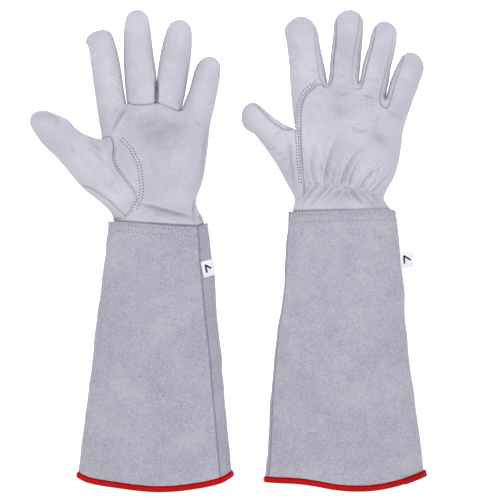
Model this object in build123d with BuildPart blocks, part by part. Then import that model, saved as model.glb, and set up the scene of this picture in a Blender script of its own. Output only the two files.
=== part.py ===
"""A pair of long leather gauntlet gloves, lying flat with the fingers pointing to +Y.

The left glove lies palm up at -X, the right glove palm down at +X. Both rest on z = 0. Units are mm.
Every panel is a plate of real leather thickness, and the digits, hands and gauntlets are hollow.
"""

import os
from math import hypot

from build123d import *

os.makedirs("parts", exist_ok=True)

# Leather and trim
LEATHER = 1.2  # grain leather of the hand
SUEDE = 1.6  # split leather of the gauntlet
BINDING = 2.4  # folded hem binding
SEAM_GAP = 0.2  # between two panels that are sewn edge to edge
ELASTIC_WIDTH = 8
ELASTIC_THICKNESS = 1
TAB_THICKNESS = 1

# Height of each hollow form as it lies on the table
DIGIT_HEIGHT = 16
HAND_HEIGHT = 20
CUFF_HEIGHT = 26
HEM_HEIGHT = 35
BEVEL = 0.55  # sideways run of the gauntlet's sloping flanks, as a share of its height

# Room left at each hinge so that the panels swing clear of each other
KNUCKLE_GAP = 4.2
WRIST_GAP = 5
BINDING_DEPTH = 6
FRAYED_LENGTH = 20  # how far working solids reach past the hem before it is trimmed

# A digit is (hinge centre, fingertip, width at the hinge, width at the tip).
LEFT = {
    "name": "left",
    "palm_up": True,
    "digits": {
        "index": ((-108.6, 141.4), (-119.5, 205.3), 25.2, 23.4),
        "middle": ((-81.1, 146.7), (-84.2, 224.2), 27.4, 21.6),
        "ring": ((-53.0, 143.0), (-45.0, 214.8), 26.4, 22.8),
        "little": ((-26.0, 136.5), (-16.8, 180.7), 24.8, 20.6),
        "thumb": ((-129.5, 86.0), (-181.8, 121.9), 43.0, 22.0),
    },
    "crotches": [(-94.9, 137.4), (-66.5, 138.0), (-42.3, 131.8)],
    "index_side": [(-118.1, 116.9)],
    "thumb_crotch": (-112.0, 103.6),
    "thumb_root": [(-121.4, 48.1)],
    "little_side": [(-28.8, 50.0), (-23.7, 68.6), (-20.0, 95.1), (-17.5, 116.5)],
    "wrist": (-106.5, -30.5),
    "thumb_seam": [(-107.6, 104.5), (-104.9, 84.4), (-93.6, 64.4), (-86.2, 47.1)],
    "gusset_edge": [(-85.2, 86.7), (-97.3, 103.9)],
    "index_back_seam": [(-103.5, 133.0), (-107.5, 112.0), (-106.8, 93.0), (-104.0, 62.0)],
    "cuff_y": 27.4,
    "cuff": (-110.9, -19.0),
    "hem": (-139.9, 5.6),
    "hem_ends_y": (-209.3, -209.3),
    "hem_middle": (-65.8, -224.2),
    "tab": ((-25.6, -10.3), (-22.2, -24.8), 11, 23.8),
}
RIGHT = {
    "name": "right",
    "palm_up": False,
    "digits": {
        "index": ((75.1, 163.9), (69.0, 217.9), 28.4, 24.0),
        "middle": ((109.5, 162.5), (114.9, 224.2), 27.8, 23.6),
        "ring": ((136.7, 155.1), (146.0, 213.5), 24.8, 22.6),
        "little": ((162.3, 147.6), (171.1, 184.7), 24.2, 21.0),
        "thumb": ((49.6, 102.4), (14.6, 133.4), 34.0, 21.0),
    },
    "crotches": [(93.0, 155.1), (124.0, 149.6), (148.4, 142.1)],
    "index_side": [(61.7, 135.2)],
    "thumb_crotch": (64.4, 111.6),
    "thumb_root": [(46.5, 78.8), (58.1, 60.2)],
    "little_side": [(145.1, 50.9), (151.8, 61.7), (157.1, 75.1), (162.6, 102.1), (170.5, 133.2)],
    "wrist": (63.2, 146.0),
    "thumb_seam": [(68.4, 111.6), (71.0, 93.0), (82.0, 73.0), (89.0, 56.0)],
    "gusset_edge": [(90.0, 95.0), (78.7, 111.6)],
    "index_back_seam": [(72.0, 146.0), (67.4, 126.2), (67.9, 93.7), (70.2, 63.0)],
    "cuff_y": 36.8,
    "cuff": (57.7, 156.6),
    "hem": (34.4, 184.0),
    "hem_ends_y": (-212.0, -209.2),
    "hem_middle": (121.6, -223.6),
    "tab": ((161.8, -1.4), (162.9, -16.2), 10, 13.4),
}


def write(part, name):
    """Labels a finished piece and writes it to its own file."""
    part.label = name
    export_step(part, f"parts/{name}.step")


def digit_frame(hinge, tip):
    """The digit's length and its plane: local X runs along it, local Y across it."""
    across = (tip[0] - hinge[0], tip[1] - hinge[1])
    plane = Plane(origin=(*hinge, 0), x_dir=(*across, 0), z_dir=(0, 0, 1))
    return hypot(*across), plane


def digit_corner(digit, side, along):
    """A point on the digit's edge line at the hinge: side is +1 or -1, along is the way past the hinge."""
    hinge, tip, width, _ = digit
    _, plane = digit_frame(hinge, tip)
    point = plane.from_local_coords(Vector(along, side * width / 2, 0))
    return (point.X, point.Y)


def digit_outline(length, base_width, tip_width, inset=0.0, start=KNUCKLE_GAP):
    """Planform of a digit: straight tapering sides and a blunt round end."""
    round_start = length - 0.42 * tip_width
    base_half = base_width / 2 - inset
    tip_half = tip_width / 2 - inset
    with BuildSketch() as outline:
        with BuildLine():
            Polyline((round_start, -tip_half), (start, -base_half), (start, base_half), (round_start, tip_half))
            ThreePointArc((round_start, tip_half), (length - inset, 0), (round_start, -tip_half))
        make_face()
    return outline.sketch


def make_digit(glove, digit_name):
    """A digit's front plate, back plate and side strips. Each side has a straight strip and a round one at the tip."""
    hinge, tip, base_width, tip_width = glove["digits"][digit_name]
    length, plane = digit_frame(hinge, tip)
    outer = digit_outline(length, base_width, tip_width)
    inner = digit_outline(length, base_width, tip_width, inset=LEATHER, start=KNUCKLE_GAP - 1)
    round_start = length - 0.42 * tip_width
    lower, upper = ("back", "front") if glove["palm_up"] else ("front", "back")
    for side, z in ((lower, 0), (upper, DIGIT_HEIGHT - LEATHER)):
        with BuildPart() as plate:
            with BuildSketch(plane.offset(z)):
                add(outer)
            extrude(amount=LEATHER)
        write(plate.part, f"{glove['name']}_{digit_name}_{side}")
    with BuildPart() as strips:
        with BuildSketch(plane.offset(LEATHER)):
            add(outer)
            add(inner, mode=Mode.SUBTRACT)
            with Locations((round_start, 0)):
                Rectangle(SEAM_GAP, 2 * base_width, mode=Mode.SUBTRACT)
            with Locations((length, 0)):
                Rectangle(2 * LEATHER, SEAM_GAP, mode=Mode.SUBTRACT)
        extrude(amount=DIGIT_HEIGHT - 2 * LEATHER)
    kind = "side_strips" if digit_name == "thumb" else "fourchettes"
    write(strips.part, f"{glove['name']}_{digit_name}_{kind}")


def polygon(points):
    """A flat face with straight edges through the points."""
    with BuildSketch() as face:
        with BuildLine():
            Polyline(*points, close=True)
        make_face()
    return face.sketch


def wall(points, height=HAND_HEIGHT - 2 * LEATHER):
    """An upright strip of leather along a line, between the palm and the back."""
    with BuildPart() as strip:
        with BuildSketch(Plane.XY.offset(LEATHER)):
            with BuildLine():
                line = Polyline(*points)
            trace(line, line_width=LEATHER)
        extrude(amount=height)
    return strip.part


def inward(points, centre, distance):
    """The same points, moved towards a centre line's x by a distance."""
    return [(x + distance if x < centre else x - distance, y) for x, y in points]


def hand_regions(glove):
    """Planforms of the hand: whole outline, thumb root seen from the palm, gusset, and thumb root on the back."""
    digits = glove["digits"]
    wrist_y = glove["cuff_y"] + 2 * WRIST_GAP
    left_x, right_x = glove["wrist"]
    knuckles = []
    fingers = ("little", "ring", "middle", "index")
    crotches = [*reversed(glove["crotches"]), None]
    for name, crotch in zip(fingers, crotches):
        knuckles += [digit_corner(digits[name], side, -KNUCKLE_GAP) for side in (-1, 1)]
        if crotch:
            knuckles.append(crotch)
    thumb_top = digit_corner(digits["thumb"], -1, -KNUCKLE_GAP)
    thumb_low = digit_corner(digits["thumb"], 1, -KNUCKLE_GAP)
    root_edge = [thumb_top, thumb_low, *glove["thumb_root"], (left_x, wrist_y)]
    outline = [*glove["little_side"], *knuckles, *glove["index_side"], glove["thumb_crotch"], *root_edge]
    outline.append((right_x, wrist_y))
    seam = glove["thumb_seam"]
    root_front = [*root_edge, (seam[-1][0], wrist_y), *reversed(seam), glove["thumb_crotch"]]
    gusset = [*seam, *glove["gusset_edge"]]
    back_seam = glove["index_back_seam"]
    root_back = [*root_edge, (back_seam[-1][0], wrist_y), *reversed(back_seam[1:]), glove["thumb_crotch"]]
    fold = [digit_corner(digits["index"], 1, -KNUCKLE_GAP), *glove["index_side"], glove["thumb_crotch"]]
    fold += [back_seam[1], back_seam[0]]
    return {
        "outline": polygon(outline),
        "root_front": polygon(root_front),
        "gusset": polygon(gusset),
        "root_back": polygon(root_back),
        "index_fold": polygon(fold),
        "root_edge": root_edge,
    }


def plate(region, z, cut=()):
    """A leather plate of a region at a height, less the regions that other panels fill."""
    with BuildPart() as panel:
        with BuildSketch(Plane.XY.offset(z)):
            add(region)
            for other in cut:
                add(other, mode=Mode.SUBTRACT)
        extrude(amount=LEATHER)
    return panel.part


def make_hand(glove):
    """The hand's panels between the knuckles and the wrist, and the elastic under its back."""
    name = glove["name"]
    regions = hand_regions(glove)
    palm_z, back_z = (HAND_HEIGHT - LEATHER, 0) if glove["palm_up"] else (0, HAND_HEIGHT - LEATHER)
    middle_x = sum(glove["wrist"]) / 2

    index_wall = [digit_corner(glove["digits"]["index"], 1, -KNUCKLE_GAP), *glove["index_side"]]
    index_wall.append(glove["thumb_crotch"])
    with BuildPart() as palm:
        add(plate(regions["outline"], palm_z, cut=(regions["root_front"], regions["gusset"])))
        add(plate(regions["index_fold"], back_z))
        add(wall(inward(index_wall, middle_x, LEATHER)))
    write(palm.part, f"{name}_palm_panel")

    wrist_corner = (glove["wrist"][1], glove["cuff_y"] + 2 * WRIST_GAP)
    little_wall = [wrist_corner, *glove["little_side"]]
    little_wall.append(digit_corner(glove["digits"]["little"], -1, -KNUCKLE_GAP))
    with BuildPart() as back:
        add(plate(regions["outline"], back_z, cut=(regions["root_back"], regions["index_fold"])))
        add(wall(inward(little_wall, middle_x, LEATHER)))
    write(back.part, f"{name}_back_panel")

    write(plate(regions["gusset"], palm_z), f"{name}_thumb_gusset")
    write(plate(regions["root_front"], palm_z, cut=(regions["gusset"],)), f"{name}_thumb_root_front")
    with BuildPart() as root_back:
        add(plate(regions["root_back"], back_z))
        add(wall(inward(regions["root_edge"][1:], middle_x, LEATHER)))
    write(root_back.part, f"{name}_thumb_root_back")

    elastic_z = LEATHER if glove["palm_up"] else HAND_HEIGHT - LEATHER - ELASTIC_THICKNESS
    left_x, right_x = glove["wrist"]
    elastic_y = glove["cuff_y"] + 2 * WRIST_GAP + ELASTIC_WIDTH
    with BuildPart() as elastic:
        with Locations((middle_x, elastic_y, elastic_z)):
            Box(
                0.7 * (right_x - left_x),
                ELASTIC_WIDTH,
                ELASTIC_THICKNESS,
                align=(Align.CENTER, Align.CENTER, Align.MIN),
            )
    write(elastic.part, f"{name}_wrist_elastic")


def gauntlet_section(glove, y, inset):
    """The gauntlet's cross-section at y: flat below and above, with flanks that meet at the side seams."""
    top_y, hem_y = glove["cuff_y"], min(glove["hem_ends_y"])
    share = (top_y - y) / (top_y - hem_y)
    left = glove["cuff"][0] + share * (glove["hem"][0] - glove["cuff"][0])
    right = glove["cuff"][1] + share * (glove["hem"][1] - glove["cuff"][1])
    height = CUFF_HEIGHT + share * (HEM_HEIGHT - CUFF_HEIGHT)
    flank = BEVEL * height
    points = [
        (left + 1.6 * inset, height / 2),
        (left + flank + 0.4 * inset, inset),
        (right - flank - 0.4 * inset, inset),
        (right - 1.6 * inset, height / 2),
        (right - flank - 0.4 * inset, height - inset),
        (left + flank + 0.4 * inset, height - inset),
    ]
    with BuildSketch(Plane.XZ.offset(-y)) as section:
        with BuildLine():
            Polyline(*points, close=True)
        make_face()
    return section.sketch


def gauntlet_form(glove, inset):
    """The gauntlet as a solid of its cross-sections, drawn longer than the hem."""
    past_hem = min(glove["hem_ends_y"]) - FRAYED_LENGTH
    past_cuff = glove["cuff_y"] + (inset and 1)
    with BuildPart() as form:
        loft([gauntlet_section(glove, y, inset).face() for y in (past_cuff, past_hem)], ruled=True)
    return form.part


def hem_region(glove, rise):
    """Everything above a curve that lies a distance inside the hem's edge."""
    (left_x, right_x), (left_y, right_y) = glove["hem"], glove["hem_ends_y"]
    middle_x, middle_y = glove["hem_middle"]
    margin = FRAYED_LENGTH
    start, end = (left_x - margin, left_y + rise + margin / 4), (right_x + margin, right_y + rise + margin / 4)
    top_y = glove["cuff_y"] + margin
    with BuildSketch() as region:
        with BuildLine():
            Spline(
                start,
                (left_x, left_y + rise),
                (middle_x, middle_y + rise),
                (right_x, right_y + rise),
                end,
            )
            Polyline(end, (end[0], top_y), (start[0], top_y), start)
        make_face()
    return region.sketch


def make_gauntlet(glove):
    """Two suede panels sewn along both sides, and the binding that closes the hem."""
    name = glove["name"]
    outer = gauntlet_form(glove, 0)
    with BuildPart() as shell:
        add(outer)
        add(gauntlet_form(glove, SUEDE), mode=Mode.SUBTRACT)
        with BuildSketch():
            add(hem_region(glove, BINDING_DEPTH))
        extrude(amount=2 * HEM_HEIGHT, mode=Mode.INTERSECT)
    cuff_y, hem_y = glove["cuff_y"], min(glove["hem_ends_y"])
    seams = Plane(
        origin=(0, cuff_y, CUFF_HEIGHT / 2),
        x_dir=(1, 0, 0),
        z_dir=(0, (HEM_HEIGHT - CUFF_HEIGHT) / 2, cuff_y - hem_y),
    )
    lower, upper = ("back_side", "palm_side") if glove["palm_up"] else ("palm_side", "back_side")
    for side, keep in ((lower, Keep.BOTTOM), (upper, Keep.TOP)):
        with BuildPart() as panel:
            add(shell.part)
            split(bisect_by=seams, keep=keep)
        write(panel.part, f"{name}_gauntlet_{side}")
    with BuildPart() as binding:
        add(outer)
        add(gauntlet_form(glove, BINDING), mode=Mode.SUBTRACT)
        with BuildSketch():
            add(hem_region(glove, 0))
            add(hem_region(glove, BINDING_DEPTH), mode=Mode.SUBTRACT)
        extrude(amount=2 * HEM_HEIGHT, mode=Mode.INTERSECT)
    write(binding.part, f"{name}_hem_binding")


def make_tab(glove):
    """The folded ribbon tab, sewn in along its inner edge."""
    start, end, width, z = glove["tab"]
    length = hypot(end[0] - start[0], end[1] - start[1])
    sewn_edge = Plane(origin=(*start, z), x_dir=(end[0] - start[0], end[1] - start[1], 0), z_dir=(0, 0, 1))
    with BuildPart() as tab:
        with BuildSketch(sewn_edge):
            Rectangle(length, width, align=(Align.MIN, Align.MIN))
        extrude(amount=TAB_THICKNESS)
    write(tab.part, f"{glove['name']}_size_tab")


for glove in (LEFT, RIGHT):
    for digit_name in glove["digits"]:
        make_digit(glove, digit_name)
    make_hand(glove)
    make_gauntlet(glove)
    make_tab(glove)
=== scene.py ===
"""Pair of long leather and suede gardening gloves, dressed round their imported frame.

Everything is worked out in millimetres, in the frame of the model, and written in metres. The left
glove lies palm up and the right one palm down. Each hand is two sheets of leather, an upper and an
under one, sewn along the outline and cut into panels along their seams.
"""
import math

import bpy
import numpy as np
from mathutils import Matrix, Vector
from mathutils.bvhtree import BVHTree
from mathutils.geometry import delaunay_2d_cdt
from mathutils.kdtree import KDTree


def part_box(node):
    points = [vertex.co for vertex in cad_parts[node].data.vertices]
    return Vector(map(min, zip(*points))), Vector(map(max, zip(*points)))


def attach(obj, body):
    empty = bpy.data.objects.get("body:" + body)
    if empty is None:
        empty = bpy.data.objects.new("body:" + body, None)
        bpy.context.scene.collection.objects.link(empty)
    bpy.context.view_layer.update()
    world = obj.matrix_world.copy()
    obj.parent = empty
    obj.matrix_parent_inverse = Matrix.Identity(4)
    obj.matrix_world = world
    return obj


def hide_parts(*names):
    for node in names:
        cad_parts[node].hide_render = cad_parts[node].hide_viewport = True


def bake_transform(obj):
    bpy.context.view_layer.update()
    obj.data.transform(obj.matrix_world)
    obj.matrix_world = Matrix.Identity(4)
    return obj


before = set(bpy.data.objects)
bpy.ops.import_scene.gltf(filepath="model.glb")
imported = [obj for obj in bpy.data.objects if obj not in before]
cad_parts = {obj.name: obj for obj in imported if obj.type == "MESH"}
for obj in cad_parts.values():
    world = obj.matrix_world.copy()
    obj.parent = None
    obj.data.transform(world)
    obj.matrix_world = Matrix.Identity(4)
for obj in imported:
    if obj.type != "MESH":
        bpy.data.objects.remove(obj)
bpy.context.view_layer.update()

MM = 0.001
SEED = 7
SPACING = 1.25  # distance between neighbouring points of the hand's mesh
LEATHER = 1.0  # thickness of the hand's leather
SUEDE = 1.5  # thickness of the gauntlet's suede
FULLNESS = 12.0  # half the thickness of a wide stretch of the hand
SPREAD = 12.0  # how far from the outline a stretch reaches its full thickness
TABLE_GAP = 0.4
SEAM_HEIGHT = 7.2  # how high the outline of the fingers runs over the table
CUFF_HEIGHT, HEM_HEIGHT = 25.0, 33.0
SLEEVE_LENGTH = 240.0  # of the gauntlet, from the cuff's edge to the hem
CUFF_ROWS = (3.7, 10.2)  # distances of the two rows of stitches from the cuff's edge
BINDING_WIDTH = 5.6
BINDING_PAST = 1.3  # how far the binding reaches past the edge of the suede
ELASTIC_WIDTH, ELASTIC_THICKNESS = 8.0, 0.8
STITCH_PITCH = 2.8

# ------------------------------------------------------------------------------------- the gloves

LEFT = dict(
    side="left",
    palm_up=True,
    outline=[
        (-105.5, 9), (-105.4, 21.2), (-105.7, 29.5), (-109.6, 37.7), (-121.6, 48.4), (-136.2, 60.4),
        (-148.3, 75.1), (-158.9, 87.1), (-172.3, 100.4), (-181.6, 113.8), (-183.8, 121.8),
        (-180.9, 127.8), (-173.6, 130.4), (-167.4, 129.8), (-161.6, 127.5), (-149.6, 122.2),
        (-141.6, 113.9), (-130.9, 107.4), (-123.2, 104.8), (-117.6, 104.2), (-117.2, 108.6),
        (-119.6, 121.8), (-123.8, 151.2), (-127.2, 175.5), (-128.9, 188.6), (-131.6, 195.2),
        (-129.7, 199.9), (-124.6, 203.6), (-116.2, 205.6), (-111.1, 204.6), (-108.1, 201.2),
        (-104.3, 190.4), (-100.9, 175.2), (-97.6, 153.8), (-95.3, 142.1), (-94.3, 136.7),
        (-94.4, 143), (-95.7, 161.6), (-96.5, 188.6), (-96.1, 205.3), (-94.5, 215.5),
        (-92.1, 220.6), (-87.9, 223.3), (-83.6, 224.2), (-79.5, 223.2), (-76, 220.4),
        (-73.8, 215.5), (-70.2, 188.6), (-67.0, 164.6), (-66.1, 149.6), (-65.9, 138.3),
        (-65.65, 148.7), (-65.0, 163.6), (-61.2, 188.6), (-57.6, 201.6), (-54.9, 208.6),
        (-50.7, 213.2), (-44.8, 214.9), (-39.1, 213.2), (-35.1, 209), (-33.7, 201.6),
        (-33.9, 188.6), (-35.3, 175.5), (-37.5, 161.6), (-40.2, 144.8), (-42.1, 134.6),
        (-42.9, 131.3), (-40.3, 138.3), (-35.7, 148.6), (-30.2, 168.1), (-26.5, 175.5),
        (-21.9, 179.6), (-16.8, 180.7), (-11.6, 179.3), (-8.1, 175.1), (-7.1, 168.1),
        (-8.1, 157.9), (-9.8, 148.6), (-13.0, 132.8), (-16.6, 116.5), (-19.0, 95.1),
        (-22.8, 68.4), (-26.5, 56.5), (-29.3, 49.1), (-29.4, 43), (-27, 36.5), (-23.4, 30.5),
        (-22.2, 24.5), (-23, 9),
    ],
    digits=dict(
        index=((-108.6, 141.4), (-119.5, 205.3)), middle=((-81.1, 146.7), (-84.2, 224.2)),
        ring=((-53, 143), (-45, 214.8)), little=((-26, 136.5), (-16.8, 180.7)),
        thumb=((-129.5, 86), (-181.8, 121.9)),
    ),
    crotches=[(-94.3, 136.7), (-65.9, 138.3), (-42.9, 131.3)],
    thumb_crotch=(-117.6, 104.2),
    cuff_y=27.4,
    cuff_edge=[(-110.9, 27.4), (-93.4, 26.6), (-28.3, 22.8), (-18.4, 26)],
    radial_edge=[(-110.9, 27.4), (-114.9, -12.2), (-124.7, -91.6), (-138.8, -210.8)],
    ulnar_edge=[(-18.4, 26), (-13.6, -8.3), (-11.2, -40.6), (-6.6, -91.6), (4.4, -209.6)],
    hem_edge=[(-138.8, -210.8), (-130.4, -214.8), (-101.1, -219.8), (-65.8, -223.4), (-35.5, -221.4),
              (-5.3, -215.2), (4.4, -209.6)],
    seam_angles=[(0, 186, 37.5), (0.15, 186, 41.5), (0.3, 186, 39), (0.52, 186, 35.4), (1, 186, 32.7)],
    tab=((-25.2, -10.3), (-14.6, -7.9), (-11.6, -22.1), (-21.9, -24.8)),
    overlap=None,
)
RIGHT = dict(
    side="right",
    palm_up=False,
    outline=[
        (66.5, 9), (65.6, 21.2), (62, 33.2), (61.5, 39.1), (63.1, 47.7), (55.6, 63.1), (47, 79.1),
        (36.3, 95.1), (29, 104.5), (24.5, 109.8), (16.9, 114.2), (13.5, 121.8), (14.1, 129.8),
        (17.9, 135.6), (23, 137.9), (28.2, 136.3), (38.3, 127.8), (49, 119.8), (55.6, 116.3),
        (63, 113.6), (62.6, 118.8), (61.3, 129), (59, 153.9), (58.1, 171.8), (55.6, 193.9),
        (53.7, 206.5), (56.6, 211.6), (62.3, 216.2), (69, 218), (75.7, 215.9), (81, 210.5),
        (83.7, 203.2), (86.3, 188.6), (91.7, 164.5), (93, 157.9), (93.2, 155.1), (94.4, 160.5),
        (96.3, 177.9), (99, 201.9), (100.3, 213.9), (103.7, 219.9), (109, 223.2), (115, 224.2),
        (121, 222.1), (125.1, 217.2), (126.1, 211.2), (125.1, 193.9), (123.6, 175.2), (123, 163.2),
        (122.9, 156.8), (124.5, 164.5), (127.7, 177.9), (132.3, 192.6), (135, 203.9), (138.4, 209.9),
        (145.1, 213.6), (151.7, 211.9), (156.4, 207.2), (157.4, 201.9), (155.8, 187.2), (152, 171.2),
        (149.7, 156.5), (148.1, 145.8), (147.2, 142.2), (149.3, 148.5), (153.1, 160.5),
        (158.4, 172.5), (163.7, 181.7), (169.7, 184.7), (176.4, 182.7), (181.4, 176.5),
        (182.5, 169.9), (178.4, 156.5), (172.4, 140.5), (166.4, 123.1), (163, 111.1), (161.5, 97.8),
        (158.4, 80.5), (154.4, 68.4), (146.8, 54.6), (145.1, 49.1), (148, 43.1), (151.4, 37.9),
        (152.6, 21.2), (151.5, 9),
    ],
    digits=dict(
        index=((75.1, 163.9), (69, 217.9)), middle=((109.5, 162.5), (114.9, 224.2)),
        ring=((136.7, 155.1), (146, 213.5)), little=((162.3, 147.6), (171.1, 184.7)),
        thumb=((49.6, 102.4), (14.6, 133.4)),
    ),
    crotches=[(93.2, 155.1), (122.9, 156.8), (147.2, 142.2)],
    thumb_crotch=(63, 113.6),
    cuff_y=36.8,
    cuff_edge=[(56.7, 36.4), (90, 37.2), (153.1, 38.4), (156.4, 37.1)],
    radial_edge=[(56.7, 36.4), (54.6, 0.5), (52.4, -30.6), (49.4, -56.6), (44.4, -91.9),
                 (34.9, -215)],
    ulnar_edge=[(156.4, 37.1), (157.9, 26.5), (161, 1.5), (162.6, -19.2), (165.2, -56.6),
                (168, -91.9), (183.8, -209.2)],
    hem_edge=[(34.9, -215), (50, -215.5), (64, -216), (79, -217.8), (100.3, -221.6), (121.6, -222.9),
              (143, -221.2), (164.3, -216.1), (183.8, -209.2)],
    seam_angles=[(0, 171, -10), (0.5, 168, -10), (1, 163.5, -10)],
    tab=None,
    overlap=(163, 184),
)

# Seams of the palm side, drawn on the left glove: name, points, depth of the groove. The depth is 0 for
# a cut only, a number, or pairs (share of the length, depth).
PALM_LINES = [
    ("middle_base", [(-94.3, 136.7), (-92.9, 137.8), (-89.3, 136.2), (-80.4, 135.6), (-72.1, 136.2),
                     (-68.2, 137.0), (-65.9, 138.3)], 1.3),
    ("ring_base", [(-65.9, 138.3), (-62.8, 136.5), (-58.1, 134.7), (-50.7, 131.9), (-45.8, 130.4),
                   (-42.9, 131.3)], [(0, 0.9), (0.6, 1.1), (1, 1.6)]),
    ("index_cut", [(-94.3, 136.7), (-101, 130), (-109, 128.5), (-120.2, 130.5)], 0),
    ("little_cut", [(-42.9, 131.3), (-36, 127.5), (-25, 126), (-15.2, 127)], 0),
    ("thumb_cut", [(-117.6, 104.2), (-141.8, 67.8)], 0),
    ("thumb_inner", [(-117.6, 104.2), (-110.2, 106.0), (-106.9, 102.1), (-105.9, 94.6),
                     (-106.3, 86.6), (-104.7, 80.2), (-101.2, 73.8), (-97.4, 68.5), (-93.7, 63.1),
                     (-90.5, 58.8), (-87.8, 54.1), (-86.2, 49.2), (-88.1, 43.4), (-90.5, 38),
                     (-94.8, 32.1)],
     [(0, 0.7), (0.1, 1.0), (0.2, 1.7), (0.5, 1.3), (0.7, 0.7), (0.8, 0.35), (0.95, 0.9), (1, 1.1)]),
    ("gusset_outer", [(-110.2, 106.0), (-104.6, 105.4), (-98.4, 103.4), (-94.4, 99.7), (-89.7, 94.8),
                      (-86.1, 87.7), (-83.2, 82.1), (-81.4, 75.1), (-80.3, 67.7), (-79.6, 60.2),
                      (-79.9, 53.7), (-81.1, 48.6), (-83.6, 42.9), (-86.4, 37.6), (-89.7, 33.6),
                      (-94.8, 32.1)], [(0, 0.3), (0.08, 0.08), (0.9, 0.08), (1, 0.2)]),
    ("thumb_outer", [(-94.8, 32.1), (-103.8, 39.6), (-108.1, 44.4), (-118.9, 52.4), (-127.9, 58.2),
                     (-136.2, 60.4)], 1.15),
    ("wrist_seam", [(-94.8, 32.1), (-95.7, 26.7), (-96.3, 18), (-96.3, 9)], 0.3),
]
FREE_ENDS = {"thumb_inner"}  # ends where other seams will start, not on an existing line
PALM_MARKS = dict(
    palm_panel=(-60, 90), thumb_gusset=(-92, 75), thumb_root_front=(-115, 75),
    thumb_front=(-160, 108), index_front=(-112, 165), middle_front=(-83, 180), ring_front=(-50, 180),
    little_front=(-20, 155), thumb_root_back=(-102, 24),
)

# Seams of the back, drawn on the right glove.
BACK_LINES = [
    ("index_middle", [(81, 211.5), (81.8, 199.7), (82.2, 191.2), (84.4, 175.2), (86.3, 161.9),
                      (88.2, 156), (90.7, 152.4), (93.5, 152), (95.9, 154.6), (97.4, 161.6),
                      (98.5, 177.9), (100.4, 195.2), (101.5, 217)],
     [(0, 0.5), (0.3, 0.6), (0.43, 1.0), (0.5, 0.9), (0.56, 1.5), (0.8, 1.6), (1, 1.0)]),
    ("middle_ring", [(123.6, 219), (121.9, 203.4), (119.1, 188.6), (117.1, 175.5), (116, 163.4),
                     (116.9, 155.1), (119.5, 150.6), (122.8, 150.6), (125.4, 155.1), (127.4, 163.4),
                     (130.1, 175.2), (134.8, 192.6), (138.4, 209.9)],
     [(0, 0.8), (0.35, 0.6), (0.46, 0.4), (0.54, 0.9), (0.62, 1.6), (0.9, 1.5), (1, 0.9)]),
    ("ring_little", [(155, 208.5), (153.3, 191.3), (149.6, 175.5), (146, 158.8), (142.8, 146.7),
                     (141.8, 139.7), (143.5, 134.6), (146.8, 132.6), (150, 134.8), (151.7, 141.1),
                     (155.3, 155.1), (160.2, 168.9), (164.8, 182.6)],
     [(0, 0.25), (0.35, 0.7), (0.5, 1.2), (0.6, 1.3), (1, 0.8)]),
    ("index_back", [(90.7, 152.4), (88.4, 154.7), (83.7, 153.9), (78.3, 149.8), (73, 144.5),
                    (69.7, 137.8), (67.9, 129.8), (67.4, 119.1), (67.7, 105.8), (68.4, 95.1),
                    (69, 84.4), (69.9, 75.1), (70.6, 67.1), (71.1, 61.1), (70.2, 50.9), (69.6, 39.8),
                    (70.2, 22), (71.5, 9)],
     [(0, 1.0), (0.1, 1.5), (0.4, 1.9), (0.7, 1.6), (0.73, 1.0), (0.77, 0.3), (1, 0.3)]),
    ("thumb_strip", [(23, 137.9), (27.8, 134.6), (33, 129.4), (38.3, 123.6), (46.3, 117.2),
                     (54.3, 112.6), (63, 113.6)], [(0, 0.8), (0.2, 1.9), (0.8, 1.7), (1, 1.2)]),
    ("thumb_cut", [(63, 113.6), (57.5, 106.5), (47, 96), (36.3, 95.1)], 0),
    ("wrap_cut", [(63, 113.6), (67.6, 110)], 0),
    ("index_cut", [(78.3, 149.8), (60.2, 142)], 0),
    ("middle_cut", [(95.9, 154.6), (106, 153.4), (116.9, 155.1)], 0),
    ("ring_cut", [(125.4, 155.1), (134, 147.5), (142.8, 146.7)], 0),
    ("little_cut", [(151.7, 141.1), (162, 137), (171.3, 137.5)], 0),
    ("root_cut_1", [(88.2, 156), (93.2, 155.1)], 0),
    ("root_cut_2", [(93.2, 155.1), (95.9, 154.6)], 0),
    ("root_cut_3", [(116.9, 155.1), (122.9, 156.8)], 0),
    ("root_cut_4", [(122.9, 156.8), (125.4, 155.1)], 0),
    ("root_cut_5", [(142.8, 146.7), (147.2, 142.2)], 0),
    ("root_cut_6", [(147.2, 142.2), (151.7, 141.1)], 0),
]
BACK_MARKS = dict(
    back_panel=(110, 100), thumb_root_back=(55, 80), thumb_back=(28, 115), palm_panel=(65, 122),
    index_back=(70, 185), middle_back=(110, 185), ring_back=(143, 185), little_back=(170, 165),
)

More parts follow.
